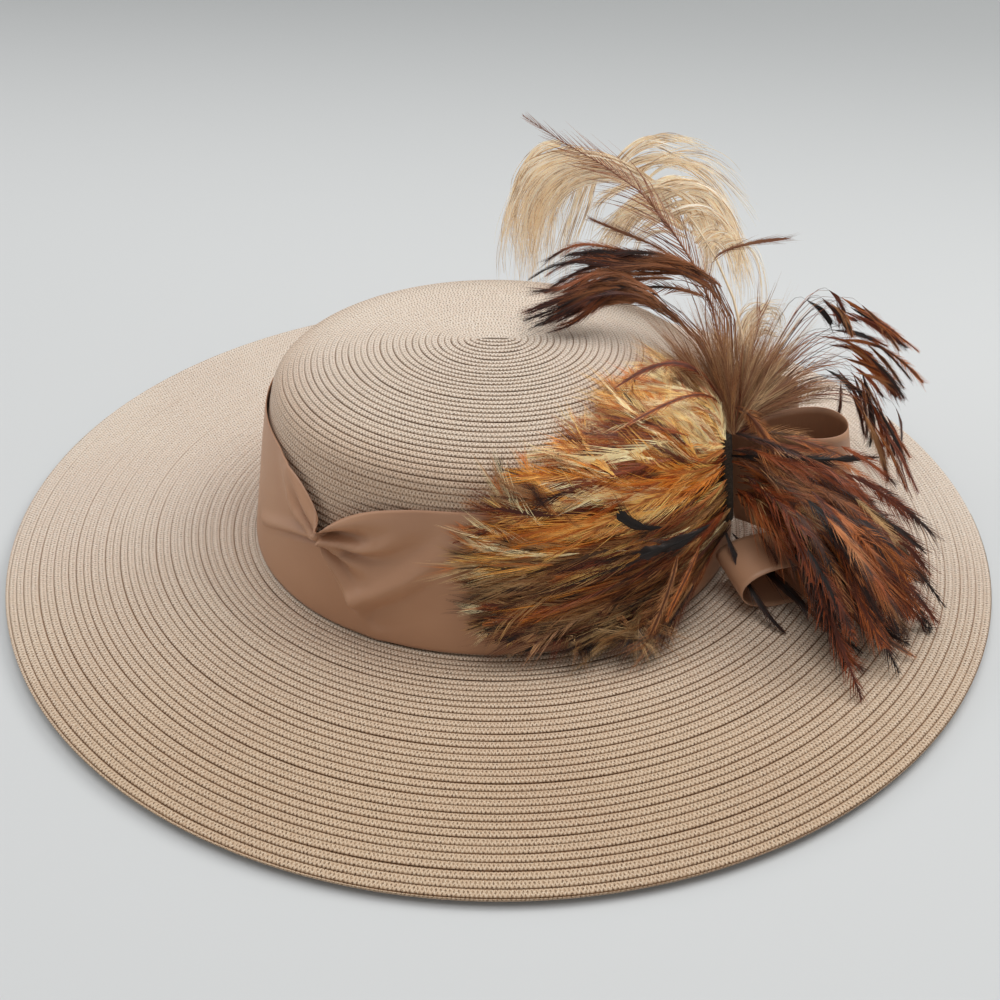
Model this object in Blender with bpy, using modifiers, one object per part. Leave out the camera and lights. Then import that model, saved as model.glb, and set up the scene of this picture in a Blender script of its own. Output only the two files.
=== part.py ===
"""Straw boater hat with a satin band, a ribbon bow and a feather trim, in metres, +Z up.

The origin is on the ground under the middle of the brim, and the long side of the hat lies
along X. The hat rests on the flat ring of brim under the crown. The trim sits on the +X side.
"""

import math

import bpy
import numpy as np
from mathutils import Matrix, Vector

MM = 0.001

# Sewn straw
STRAW_WALL = 2.0 * MM
SEAM_GAP = 0.3 * MM
BRIM_LENGTH = 385.0 * MM
BRIM_WIDTH = 364.4 * MM
BRIM_BOWL = 4.0 * MM
BRIM_SIDE_LIFT = 2.0 * MM
CROWN_LENGTH = 190.4 * MM
CROWN_WIDTH = 164.6 * MM
CROWN_HEIGHT = 82.3 * MM
CROWN_SHIFT_X = -2.0 * MM
CROWN_SHIFT_Y = 3.0 * MM

# Satin ribbon
RIBBON_WALL = 1.0 * MM
BAND_CLEARANCE = 0.5 * MM
BAND_HEIGHT = 58.0 * MM
PINCH_DEPTH = 19.0 * MM
PINCH_TURN = -130.0
PINCH_SLACK_LEFT = 9.0
PINCH_SLACK_RIGHT = 12.0
BAND_EASE = 0.4 * MM
FOLD_RISE = 2.4 * MM
TURN_PER_LEVEL = 40.0
LOOP_REACH = 45.0 * MM
LOOP_BREADTH = 24.0 * MM
LOOP_HEIGHT = 48.0 * MM
LOOP_SEAT = 6.5 * MM
LOOP_FULLNESS = 1.25
LOOP_NECK = 0.7
LOW_LOOP_LENGTH = 36.0 * MM
LOW_LOOP_HEIGHT = 18.0 * MM
LOW_LOOP_DEPTH = 22.0 * MM
LOW_LOOP_HEADING = -74.0
LOW_LOOP_TURN = -27.5
LOW_LOOP_ACROSS = 0.24
LOW_LOOP_FLATNESS = 0.8
LOW_LOOP_SEAT = 1.2 * MM

# Feather trim
BINDING_TURN = -21.0
BINDING_HEIGHT = 38.0 * MM
BINDING_WIDTH = 7.0 * MM
BINDING_THICKNESS = 4.0 * MM
BINDING_MIDDLE = 40.0 * MM
PAD_THICKNESS = 3.2 * MM
PAD_CLEARANCE = 0.8 * MM
RIGHT_PAD_REACH = 76.0 * MM
RIGHT_PAD_TOP = 0.86
RIGHT_PAD_FOOT = 0.22
SWEEP_REACH = 110.0 * MM
TOP_SPRAY_REACH = 66.0 * MM
RIGHT_SPRAY_REACH = 92.0 * MM
SPRAY_THICKNESS = 1.8 * MM
QUILL_REACH = 128.0 * MM
QUILL_WIDTH = 9.0 * MM
QUILL_HEADING = 88.0
QUILL_CLIMB = 34.0
QUILL_CURL = 0.63
QUILL_FACE = Vector((0.3, -0.5, 0.8))
PLUME_REACH = 48.0 * MM
PLUME_SPINE = 100.0 * MM
PLUME_THICKNESS = 4.0 * MM

# Mesh fineness
AROUND = 48
PINCH_STEP = 2.5
BAND_STEP = 7.5
BAND_LEVELS = (0.0, 0.2, 0.4, 0.55, 0.7, 0.85, 1.0)
LOOP_STEPS = 24
BODY_ROWS = 4
LOCK_TAPER = (0.90, 0.76, 0.56, 0.30, 0.10)
RAGGED = (0.02, 0.14, 0.0, 0.09, 0.04, 0.18, 0.06)
TIP_THINNING = 0.6

# Outside of the crown: shares of its height, half length and half width
CROWN_PROFILE = (
    # height, length, width
    (0.000, 1.000, 1.000),
    (0.030, 1.000, 1.000),
    (0.243, 0.968, 0.968),
    (0.486, 0.934, 0.937),
    (0.680, 0.903, 0.912),
    (0.800, 0.878, 0.893),
    (0.844, 0.851, 0.865),
    (0.876, 0.804, 0.820),
    (0.899, 0.756, 0.770),
    (0.927, 0.683, 0.693),
    (0.953, 0.583, 0.583),
    (0.980, 0.430, 0.420),
    (0.996, 0.250, 0.240),
    (1.000, 0.080, 0.040),
)

# Top of the brim: share across it, and heights as shares of its bowl and side lift
BRIM_PROFILE = (
    # across, bowl, side lift
    (0.00, 0.00, 0.0),
    (0.06, 0.00, 0.0),
    (0.16, 0.55, 0.1),
    (0.28, 1.00, 0.3),
    (0.52, 0.92, 0.6),
    (0.76, 0.78, 0.9),
    (0.93, 0.62, 1.0),
    (1.00, 0.38, 1.0),
)

# Folds that run out of the stitched pinch of the band
BAND_FOLDS = (
    # turn from pinch at start, level, turn at end, level, rise, breadth
    (-1.0, 0.62, -17.0, 1.00, 0.90, 4.0),
    (-1.0, 0.60, -8.0, 0.95, 0.70, 2.5),
    (-2.0, 0.58, -38.0, 0.66, 0.55, 5.0),
    (3.0, 0.66, 20.0, 0.80, 1.00, 7.0),
    (2.0, 0.55, 26.0, 0.44, 0.60, 5.0),
    (1.0, 0.52, 11.0, 0.10, 0.75, 4.5),
)

# Upright bow loops: heading from the crown wall, and shares of the loop sizes
UPRIGHT_LOOPS = (
    # name, turn of root, heading, reach, breadth, height
    ("bow_loop_right", -10.5, 0.0, 1.00, 1.00, 1.00),
    ("bow_loop_back", -1.5, 36.0, 0.80, 0.62, 0.96),
)

# Ribs of the left pad, top to bottom: root level on the binding, and the tip's place on the crown
LEFT_PAD_RIBS = (
    # share across, root level, tip turn, tip run, tip lift
    (0.000, 1.00, -46.0, 0.740, 1.0),
    (0.125, 0.92, -70.0, 0.640, 1.0),
    (0.250, 0.82, -96.0, 0.500, 1.0),
    (0.375, 0.66, -103.0, 0.300, 1.2),
    (0.500, 0.50, -101.0, 0.225, 1.3),
    (0.625, 0.36, -100.0, 0.160, 1.5),
    (0.750, 0.24, -97.0, 0.090, 2.0),
    (0.875, 0.14, -86.0, 0.050, 3.5),
    (1.000, 0.06, -62.0, 0.045, 7.0),
)

# Ribs of the free fans, first to last
RIGHT_PAD_RIBS = (
    # share across, heading, climb, reach, droop
    (0.00, -20.0, 8.0, 0.95, 0.62),
    (0.33, -32.0, 10.0, 1.06, 0.58),
    (0.67, -50.0, 16.0, 1.12, 0.60),
    (1.00, -61.0, 22.0, 0.95, 0.60),
)
SWEEP_RIBS = (
    # share across, heading, climb, reach, droop
    (0.0, 116.0, 60.0, 1.36, 0.66),
    (0.5, 136.0, 60.0, 1.42, 0.69),
    (1.0, 152.0, 60.0, 1.36, 0.71),
)
TOP_SPRAY_RIBS = (
    # share across, heading, climb, reach, droop
    (0.0, 112.0, 52.0, 0.88, 0.25),
    (0.4, 72.0, 52.0, 0.88, 0.28),
    (0.7, 44.0, 50.0, 1.00, 0.36),
    (1.0, 38.0, 50.0, 0.98, 0.36),
)
RIGHT_SPRAY_RIBS = (
    # share across, heading, climb, reach, droop
    (0.0, 50.0, 37.0, 1.02, 0.33),
    (0.4, 38.0, 37.0, 1.08, 0.48),
    (0.7, 22.0, 33.0, 1.02, 0.62),
    (1.0, 6.0, 28.0, 0.86, 0.72),
)

# Roots of the free fans from the middle of the binding's upper end, as shares of its size
FAN_ROOTS = {
    # along the wall, away from the wall, upwards, width of the root
    "dark_sweep": (-0.10, -0.08, 0.03, 0.6),
    "top_spray": (0.00, 0.55, 0.03, 0.6),
    "right_spray": (0.00, 1.25, 0.03, 0.6),
    "tall_quill": (0.72, 0.10, 0.03, 0.3),
    "ostrich_plume": (1.36, 0.20, 0.03, 0.3),
}

# How each group of feathers is parted
FAN_LOCKS = {
    # number of locks, share of the length where they part
    "hackle_pad_left": (12, 0.60),
    "hackle_pad_right": (9, 0.45),
    "dark_sweep": (6, 0.50),
    "top_spray": (9, 0.30),
    "right_spray": (9, 0.30),
    "tall_quill": (2, 0.55),
    "ostrich_plume": (10, 0.50),
}

# The curved spine of the plume, as shares of its length, from its root
PLUME_SPINE_POINTS = (
    # share along, x, y, z
    (0.0, 0.00, 0.00, 0.00),
    (0.2, 0.13, 0.26, 0.09),
    (0.4, 0.08, 0.62, 0.25),
    (0.6, -0.14, 0.88, 0.36),
    (0.8, -0.46, 1.00, 0.38),
    (1.0, -0.72, 1.00, 0.28),
)

COLOURS = {
    # red, green, blue, roughness
    "straw": (0.62, 0.50, 0.38, 0.75),
    "satin": (0.36, 0.23, 0.15, 0.40),
    "tape": (0.05, 0.035, 0.03, 0.80),
    "gold_hackle": (0.50, 0.24, 0.07, 0.60),
    "rust_hackle": (0.25, 0.08, 0.03, 0.60),
    "dark_hackle": (0.06, 0.025, 0.02, 0.60),
    "cream_plume": (0.75, 0.62, 0.46, 0.80),
}


def clear_scene():
    """Start from an empty scene."""
    for old in list(bpy.data.objects):
        bpy.data.objects.remove(old, do_unlink=True)


def make_collection(name):
    """The collection that holds the hat's pieces."""
    collection = bpy.data.collections.new(name)
    bpy.context.scene.collection.children.link(collection)
    return collection


def material(name):
    """One Principled material in the colour listed for it."""
    found = bpy.data.materials.get(name)
    if found:
        return found
    made = bpy.data.materials.new(name)
    made.use_nodes = True
    shader = made.node_tree.nodes["Principled BSDF"]
    red, green, blue, roughness = COLOURS[name]
    shader.inputs["Base Color"].default_value = (red, green, blue, 1.0)
    shader.inputs["Roughness"].default_value = roughness
    shader.inputs["Metallic"].default_value = 0.0
    made.diffuse_color = (red, green, blue, 1.0)
    return made


def sheet(name, vertices, faces, surface, collection):
    """An open sheet as an object, ready to be thickened."""
    mesh = bpy.data.meshes.new(name)
    mesh.from_pydata([tuple(v) for v in vertices], [], faces)
    mesh.validate()
    mesh.materials.append(material(surface))
    mesh.shade_smooth()
    made = bpy.data.objects.new(name, mesh)
    collection.objects.link(made)
    return made


def thicken(made, wall, side):
    """Give a sheet its wall: side 1 grows it along its normals, -1 against them."""
    solidify = made.modifiers.new("wall", "SOLIDIFY")
    solidify.thickness = wall
    solidify.offset = side
    solidify.use_even_offset = True
    return solidify


def ring_faces(rows, columns, closed):
    """Quads between neighbouring rows of a grid, joined end to end where it is closed."""
    faces = []
    last = columns if closed else columns - 1
    for row in range(rows - 1):
        for column in range(last):
            following = (column + 1) % columns
            low = row * columns
            high = low + columns
            faces.append((low + column, low + following, high + following, high + column))
    return faces


def heading_vector(heading, climb):
    """Unit vector from a heading round +Z and a climb over the ground, in degrees."""
    turn = math.radians(heading)
    rise = math.radians(climb)
    flat = math.cos(rise)
    return Vector((math.cos(turn) * flat, math.sin(turn) * flat, math.sin(rise)))


def crown_profile():
    """Height, half length, half width and run along the wall at each section of the crown."""
    shares = np.array(CROWN_PROFILE)
    height = shares[:, 0] * CROWN_HEIGHT
    length = shares[:, 1] * CROWN_LENGTH / 2
    width = shares[:, 2] * CROWN_WIDTH / 2
    middle = (length + width) / 2
    steps = np.hypot(np.diff(height), np.diff(middle))
    run = np.concatenate(([0.0], np.cumsum(steps)))
    return height, length, width, run / run[-1]


def run_at(level):
    """Share of the way along the crown wall where it stands a given height over the brim."""
    height, _, _, run = crown_profile()
    return float(np.interp(level, height, run))


def crown_skin(turn, run):
    """Point on the outside of the crown: turn in degrees, run from the brim to the tip."""
    height, length, width, shares = crown_profile()
    angle = math.radians(turn)
    x = CROWN_SHIFT_X + np.interp(run, shares, length) * math.cos(angle)
    y = CROWN_SHIFT_Y + np.interp(run, shares, width) * math.sin(angle)
    z = STRAW_WALL + SEAM_GAP + np.interp(run, shares, height)
    return Vector((x, y, z))


def crown_normal(turn, run):
    """Direction that points out of the crown there."""
    step = 0.01
    along = crown_skin(turn + 1.0, run) - crown_skin(turn - 1.0, run)
    up = crown_skin(turn, min(run + step, 0.99)) - crown_skin(turn, max(run - step, 0.0))
    return along.cross(up).normalized()


def over_crown(turn, run, lift):
    """Point at a height over the crown's skin."""
    return crown_skin(turn, run) + crown_normal(turn, run) * lift


def brim_top(across, turn):
    """Point on the top of the brim: across runs from the head opening to the edge."""
    shares = np.array(BRIM_PROFILE)
    angle = math.radians(turn)
    inner_x = CROWN_LENGTH / 2 - STRAW_WALL
    inner_y = CROWN_WIDTH / 2 - STRAW_WALL
    half_x = inner_x + (BRIM_LENGTH / 2 - inner_x) * across
    half_y = inner_y + (BRIM_WIDTH / 2 - inner_y) * across
    bowl = np.interp(across, shares[:, 0], shares[:, 1]) * BRIM_BOWL
    side = np.interp(across, shares[:, 0], shares[:, 2]) * BRIM_SIDE_LIFT
    x = CROWN_SHIFT_X * (1 - across) + half_x * math.cos(angle)
    y = CROWN_SHIFT_Y * (1 - across) + half_y * math.sin(angle)
    z = STRAW_WALL + bowl + side * math.cos(angle) ** 2
    return Vector((x, y, z))


def make_crown(collection):
    """Oval crown, open below, with a closed domed tip."""
    _, _, _, runs = crown_profile()
    turns = [360.0 * i / AROUND for i in range(AROUND)]
    vertices = [crown_skin(turn, run) for run in runs for turn in turns]
    faces = ring_faces(len(runs), AROUND, True)
    last_row = (len(runs) - 1) * AROUND
    centre = Vector((CROWN_SHIFT_X, CROWN_SHIFT_Y, vertices[-1].z))
    vertices.append(centre)
    tip = len(vertices) - 1
    for i in range(AROUND):
        faces.append((last_row + i, last_row + (i + 1) % AROUND, tip))
    crown = sheet("crown", vertices, faces, "straw", collection)
    thicken(crown, STRAW_WALL, -1)


def make_brim(collection):
    """Oval brim with a flat ring under the crown, a shallow bowl and a lowered edge."""
    turns = [360.0 * i / AROUND for i in range(AROUND)]
    vertices = [brim_top(row[0], turn) for row in BRIM_PROFILE for turn in turns]
    faces = [tuple(reversed(face)) for face in ring_faces(len(BRIM_PROFILE), AROUND, True)]
    brim = sheet("brim", vertices, faces, "straw", collection)
    thicken(brim, STRAW_WALL, -1)


def band_turns():
    """Columns of the band, closer together round its pinch."""
    start, end = PINCH_TURN - 42.5, PINCH_TURN + 40.0
    fine = np.arange(start, end, PINCH_STEP)
    coarse = np.arange(end, start + 360.0 - 0.1, BAND_STEP)
    return list(fine) + list(coarse)


def fold_lift(away, level):
    """How far the satin stands off the straw: turn away from the pinch, and level on the band."""
    lift = BAND_EASE
    here = Vector((away, level * TURN_PER_LEVEL))
    for turn_a, level_a, turn_b, level_b, rise, breadth in BAND_FOLDS:
        start = Vector((turn_a, level_a * TURN_PER_LEVEL))
        line = Vector((turn_b, level_b * TURN_PER_LEVEL)) - start
        share = (here - start).dot(line) / line.length_squared
        share = min(max(share, 0.0), 1.0)
        gap = (here - start - line * share).length
        fade = 1.0 - 0.8 * share
        lift = max(lift, FOLD_RISE * rise * fade * math.exp(-(gap / breadth) ** 2))
    return lift


def band_top(away):
    """Height of the band's upper edge, which dips to the pinch."""
    slack = PINCH_SLACK_LEFT if away < 0 else PINCH_SLACK_RIGHT
    return BAND_HEIGHT - PINCH_DEPTH * math.exp(-abs(away) / slack)


def make_hatband(collection):
    """Satin ribbon round the crown, gathered at one stitched pinch."""
    vertices = []
    turns = band_turns()
    for level in BAND_LEVELS:
        for turn in turns:
            away = (turn - PINCH_TURN + 180.0) % 360.0 - 180.0
            height = 2 * SEAM_GAP + band_top(away) * level
            lift = BAND_CLEARANCE + fold_lift(away, level)
            vertices.append(over_crown(turn, run_at(height), lift))
    faces = ring_faces(len(BAND_LEVELS), len(turns), True)
    band = sheet("hatband", vertices, faces, "satin", collection)
    thicken(band, RIBBON_WALL, 1)


def skin_over_band():
    """Distance from the straw to what lies on the smooth stretch of the band."""
    return BAND_CLEARANCE + BAND_EASE + RIBBON_WALL + 2 * SEAM_GAP


def binding_frame():
    """Middle of the binding on the crown wall, and its three directions."""
    run = run_at(BINDING_MIDDLE)
    out = crown_normal(BINDING_TURN, run)
    low = crown_skin(BINDING_TURN, run_at(BINDING_MIDDLE - BINDING_HEIGHT / 2))
    high = crown_skin(BINDING_TURN, run_at(BINDING_MIDDLE + BINDING_HEIGHT / 2))
    up = (high - low).normalized()
    along = up.cross(out).normalized()
    middle = (low + high) / 2 + out * (skin_over_band() + BINDING_THICKNESS / 2)
    return middle, along, out, up


def by_binding(along_share, out_share, up_share):
    """Point by the binding, in shares of its width, thickness and height from its middle."""
    middle, along, out, up = binding_frame()
    point = middle + along * along_share * BINDING_WIDTH
    point = point + out * out_share * BINDING_THICKNESS
    return point + up * up_share * BINDING_HEIGHT


def make_binding(collection):
    """Short dark tape that covers the feather roots."""
    middle, along, out, up = binding_frame()
    bpy.ops.mesh.primitive_cube_add(size=1.0)
    tape = bpy.context.object
    tape.name = "feather_binding"
    tape.data.transform(Matrix.Diagonal((BINDING_THICKNESS, BINDING_WIDTH, BINDING_HEIGHT, 1.0)))
    tape.matrix_world = Matrix((out, along, up)).transposed().to_4x4()
    tape.location = middle
    tape.data.materials.append(material("tape"))
    bevel = tape.modifiers.new("soft edge", "BEVEL")
    bevel.width = BINDING_THICKNESS * 0.3
    bevel.segments = 2
    for owner in list(tape.users_collection):
        owner.objects.unlink(tape)
    collection.objects.link(tape)


def ribbon_loop(name, path, rise, collection):
    """A ribbon that follows an open or closed path and stands across it."""
    points, closed = path
    vertices = list(points) + [point + rise for point in points]
    faces = ring_faces(2, len(points), closed)
    loop = sheet(name, vertices, faces, "satin", collection)
    thicken(loop, RIBBON_WALL, -1)


def make_upright_loops(collection):
    """Two loops that stand on edge, pinched together where they leave the band."""
    half_root = RIBBON_WALL + SEAM_GAP
    off = skin_over_band() + SEAM_GAP
    up = binding_frame()[3]
    for name, root_turn, heading, reach_share, breadth_share, height_share in UPRIGHT_LOOPS:
        root = over_crown(root_turn, run_at(LOOP_SEAT), off)
        forward = heading_vector(heading, 0.0)
        left = heading_vector(heading + 90.0, 0.0)
        reach = LOOP_REACH * reach_share
        half_breadth = LOOP_BREADTH * breadth_share / 2
        points = []
        for step in range(LOOP_STEPS + 1):
            theta = math.pi * (2.0 * step / LOOP_STEPS - 1.0)
            out = (1.0 + math.cos(theta)) / 2
            swell = math.sin(theta) * out ** LOOP_NECK * LOOP_FULLNESS
            across = math.copysign(half_root, theta) * (1.0 - out) + half_breadth * swell
            points.append(root + forward * reach * out + left * across)
        ribbon_loop(name, (points, False), up * LOOP_HEIGHT * height_share, collection)


def make_low_loop(collection):
    """A flattened loop that lies on the brim with its mouth to the front."""
    mouth = heading_vector(LOW_LOOP_HEADING, 0.0)
    across = heading_vector(LOW_LOOP_HEADING + 90.0, 0.0)
    seat = brim_top(LOW_LOOP_ACROSS, LOW_LOOP_TURN)
    half_length = LOW_LOOP_LENGTH / 2
    half_height = LOW_LOOP_HEIGHT / 2
    centre = seat + Vector((0.0, 0.0, half_height + LOW_LOOP_SEAT))
    points = []
    for step in range(LOOP_STEPS):
        theta = 2.0 * math.pi * step / LOOP_STEPS
        flat = math.copysign(abs(math.cos(theta)) ** LOW_LOOP_FLATNESS, math.cos(theta))
        point = centre + across * half_length * flat
        point = point + Vector((0.0, 0.0, half_height * math.sin(theta)))
        points.append(point - mouth * LOW_LOOP_DEPTH / 2)
    ribbon_loop("bow_loop_low", (points, True), mouth * LOW_LOOP_DEPTH, collection)


def comb_sheet(name, place, surface, wall, side, collection):
    """A sheet of feathers, whole near its root and parted into tapering locks beyond the split.

    place gives the point at a share along the feathers and a share across the fan.
    The wall grows thinner to the tips.
    """
    locks, split = FAN_LOCKS[name]
    vertices = []
    faces = []
    weights = []
    for row in range(BODY_ROWS + 1):
        along = split * row / BODY_ROWS
        for edge in range(locks + 1):
            vertices.append(place(along, edge / locks))
            weights.append(1.0 - TIP_THINNING * along)
    for row in range(BODY_ROWS):
        for lock in range(locks):
            low = row * (locks + 1) + lock
            high = low + locks + 1
            faces.append((low, high, high + 1, low + 1))
    for lock in range(locks):
        left = BODY_ROWS * (locks + 1) + lock
        right = left + 1
        end = 1.0 - RAGGED[lock % len(RAGGED)]
        middle = (lock + 0.5) / locks
        for row, narrow in enumerate(LOCK_TAPER, 1):
            along = split + (end - split) * row / len(LOCK_TAPER)
            half = 0.5 / locks * narrow
            vertices.append(place(along, middle - half))
            vertices.append(place(along, middle + half))
            weights.extend([1.0 - TIP_THINNING * along] * 2)
            high = len(vertices) - 2
            faces.append((left, high, high + 1, right))
            left = high
            right = high + 1
    comb = sheet(name, vertices, faces, surface, collection)
    group = comb.vertex_groups.new(name="thickness")
    for index, weight in enumerate(weights):
        group.add([index], weight, "REPLACE")
    thicken(comb, wall, side).vertex_group = "thickness"


def columns_at(table, share):
    """The table's columns read at a share across, which is its first column."""
    rows = np.array(table)
    return [float(np.interp(share, rows[:, 0], rows[:, i])) for i in range(1, rows.shape[1])]


def make_left_pad(collection):
    """Hackles that lie round the front of the crown and over its shoulder."""
    base = skin_over_band() + PAD_CLEARANCE
    edge_turn = math.degrees((BINDING_WIDTH / 2 + PAD_CLEARANCE) / (CROWN_WIDTH / 2))

    def place(along, across):
        level, tip_turn, tip_run, tip_lift = columns_at(LEFT_PAD_RIBS, across)
        root_height = BINDING_MIDDLE + (level - 0.5) * BINDING_HEIGHT
        root_turn = BINDING_TURN - edge_turn
        root_run = run_at(root_height)
        turn = root_turn + (tip_turn - root_turn) * along
        run = root_run + (tip_run - root_run) * along ** 1.15
        lift = base + PAD_THICKNESS * (tip_lift - 1.0) * along ** 2
        return over_crown(turn, run, lift)

    comb_sheet("hackle_pad_left", place, "gold_hackle", PAD_THICKNESS, 1, collection)


def free_fan(name, ribs, root_at, reach, wall, surface, collection):
    """Feathers that stand free: each rib leaves its root, climbs and droops."""

    def place(along, across):
        heading, climb, stretch, droop = columns_at(ribs, across)
        far = reach * stretch
        point = root_at(across) + heading_vector(heading, climb) * far * along
        return point - Vector((0.0, 0.0, far * droop * along ** 2))

    comb_sheet(name, place, surface, wall, 0, collection)


def make_right_pad(collection):
    """Hackles that fan from the outer face of the binding over the brim."""

    def root_at(across):
        out = 0.5 + 4 * SEAM_GAP / BINDING_THICKNESS
        level = RIGHT_PAD_TOP + (RIGHT_PAD_FOOT - RIGHT_PAD_TOP) * across
        return by_binding(-0.1 * across, out, level - 0.5)

    free_fan("hackle_pad_right", RIGHT_PAD_RIBS, root_at, RIGHT_PAD_REACH, PAD_THICKNESS,
             "rust_hackle", collection)


def fan_root(name):
    """Root line of a free fan at the upper end of the binding."""
    side, out, up, width = FAN_ROOTS[name]

    def root_at(across):
        return by_binding(side + (across - 0.5) * width, out, 0.5 + up)

    return root_at


def make_sprays(collection):
    """The dark sweep over the crown, the two sprays of slim stems and the tall quill."""
    free_fan("dark_sweep", SWEEP_RIBS, fan_root("dark_sweep"), SWEEP_REACH, SPRAY_THICKNESS,
             "dark_hackle", collection)
    free_fan("top_spray", TOP_SPRAY_RIBS, fan_root("top_spray"), TOP_SPRAY_REACH,
             SPRAY_THICKNESS, "gold_hackle", collection)
    free_fan("right_spray", RIGHT_SPRAY_RIBS, fan_root("right_spray"), RIGHT_SPRAY_REACH,
             SPRAY_THICKNESS, "rust_hackle", collection)


def along_spine(share):
    """Point on the plume's spine, from its root."""
    return Vector(columns_at(PLUME_SPINE_POINTS, share)) * PLUME_SPINE


def make_quill(collection):
    """One long quill that leans back over the crown."""

    def place(along, across):
        point = fan_root("tall_quill")(0.5)
        point = point + heading_vector(QUILL_HEADING, QUILL_CLIMB) * QUILL_REACH * along
        left = heading_vector(QUILL_HEADING + 90.0, 0.0)
        point = point + left * QUILL_REACH * QUILL_CURL * along ** 2
        spread = QUILL_WIDTH * (0.25 + 0.75 * math.sin(math.pi * min(along + 0.1, 1.0)))
        return point + QUILL_FACE * spread * (across - 0.5)

    comb_sheet("tall_quill", place, "gold_hackle", SPRAY_THICKNESS, 0, collection)


def make_plume(collection):
    """A soft plume behind the crown, its locks fused along a curved spine."""

    def place(along, across):
        root = fan_root("ostrich_plume")(0.5)
        outward = Vector((0.45 - 1.0 * across, 0.35, 1.0)).normalized()
        swell = 0.35 + 0.65 * math.sin(math.pi * min(across + 0.12, 1.0))
        reach = PLUME_REACH * swell * along
        droop = Vector((0.0, 0.0, reach * along * 0.3))
        return root + along_spine(across) + outward * reach - droop

    comb_sheet("ostrich_plume", place, "cream_plume", PLUME_THICKNESS, 0, collection)


def build():
    """Make the whole hat."""
    clear_scene()
    collection = make_collection("straw_boater")
    make_brim(collection)
    make_crown(collection)
    make_hatband(collection)
    make_binding(collection)
    make_upright_loops(collection)
    make_low_loop(collection)
    make_left_pad(collection)
    make_right_pad(collection)
    make_sprays(collection)
    make_quill(collection)
    make_plume(collection)


build()
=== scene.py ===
import math

import bpy
import numpy as np
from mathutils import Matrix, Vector


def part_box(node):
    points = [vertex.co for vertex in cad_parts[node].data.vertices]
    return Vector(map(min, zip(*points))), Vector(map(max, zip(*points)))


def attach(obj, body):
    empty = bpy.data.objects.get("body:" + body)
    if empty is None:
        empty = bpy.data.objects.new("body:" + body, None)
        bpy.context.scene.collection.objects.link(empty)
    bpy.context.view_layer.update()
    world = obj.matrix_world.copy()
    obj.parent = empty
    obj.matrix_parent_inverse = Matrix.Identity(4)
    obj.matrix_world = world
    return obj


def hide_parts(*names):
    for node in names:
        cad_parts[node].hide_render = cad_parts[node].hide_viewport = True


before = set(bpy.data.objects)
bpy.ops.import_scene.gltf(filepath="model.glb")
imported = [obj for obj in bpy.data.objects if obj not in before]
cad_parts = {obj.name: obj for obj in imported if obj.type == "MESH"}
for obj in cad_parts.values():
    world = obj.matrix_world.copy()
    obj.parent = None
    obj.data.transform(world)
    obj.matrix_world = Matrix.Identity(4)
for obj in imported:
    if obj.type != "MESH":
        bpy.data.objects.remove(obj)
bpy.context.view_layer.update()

MM = 0.001

# Camera and light
CAMERA_PLACE = (-0.8 * MM, -396.8 * MM, 310.6 * MM)
CAMERA_PITCH = 37.0
CAMERA_ROLL = -0.22
LENS = 44.17
SENSOR_WIDTH = 36.0
LAMPS = (
    # name, place, aim, power in watts, size, colour
    ("key", (0.9, 0.45, 1.2), (0.0, 0.0, 0.05), 8.5, 0.8, (1.0, 0.97, 0.93)),
    ("top", (0.0, 0.05, 1.7), (0.0, 0.0, 0.0), 12.5, 1.2, (1.0, 0.99, 0.98)),
    ("left", (-1.5, 0.2, 0.8), (0.0, 0.0, 0.05), 4.0, 0.9, (1.0, 0.98, 0.96)),
)
ROOM_COLOUR = (1.0, 0.965, 0.93, 1.0)
ROOM_LIGHT = 0.355
FLOOR_SIZE = 8.0
BACKDROP_HEIGHT = 5.0

# Straw braid
CROWN_LENGTH = 190.4 * MM
CROWN_WIDTH = 164.6 * MM
CROWN_HEIGHT = 82.3 * MM
CROWN_BASE = 2.3 * MM
CROWN_SHIFT = (-2.0 * MM, 3.0 * MM)
STRAW_WALL = 2.0 * MM
BRIM_LENGTH = 385.0 * MM
BRIM_WIDTH = 364.4 * MM
BRIM_BOWL = 4.0 * MM
BRIM_SIDE_LIFT = 2.0 * MM
BRIM_ROWS = 36
BRIM_STEPS = 216
CROWN_ROWS = 58
CROWN_STEPS = 132
STITCH_PITCH = 1.35 * MM
ROW_WANDER = 0.05
ROW_SWELL = 0.12
CROWN_PROFILE = (
    # height, half length, half width, as shares
    (0.000, 1.000, 1.000),
    (0.030, 1.000, 1.000),
    (0.243, 0.968, 0.968),
    (0.486, 0.934, 0.937),
    (0.680, 0.903, 0.912),
    (0.800, 0.878, 0.893),
    (0.844, 0.851, 0.865),
    (0.876, 0.804, 0.820),
    (0.899, 0.756, 0.770),
    (0.927, 0.683, 0.693),
    (0.953, 0.583, 0.583),
    (0.980, 0.430, 0.420),
    (0.996, 0.250, 0.240),
    (1.000, 0.055, 0.004),
)
BRIM_PROFILE = (
    # across, bowl, side lift
    (0.00, 0.00, 0.0),
    (0.06, 0.00, 0.0),
    (0.16, 0.55, 0.1),
    (0.28, 1.00, 0.3),
    (0.52, 0.92, 0.6),
    (0.76, 0.78, 0.9),
    (0.93, 0.62, 1.0),
    (1.00, 0.38, 1.0),
)
# the highest point of a row; the line that it draws gives the braid's length
BRAID_CREST = (0.86, 0.00)
BRAID_SECTION = (
    # across the row in rows, height in mm; the outer edge lies over the next row
    (-0.42, -1.08),
    (0.00, -0.62),
    (0.22, -0.28),
    (0.55, -0.04),
    BRAID_CREST,
    (0.99, -0.16),
    (1.01, -0.50),
    (0.80, -0.72),
    (0.30, -0.92),
    (-0.42, -1.62),
)

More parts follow.
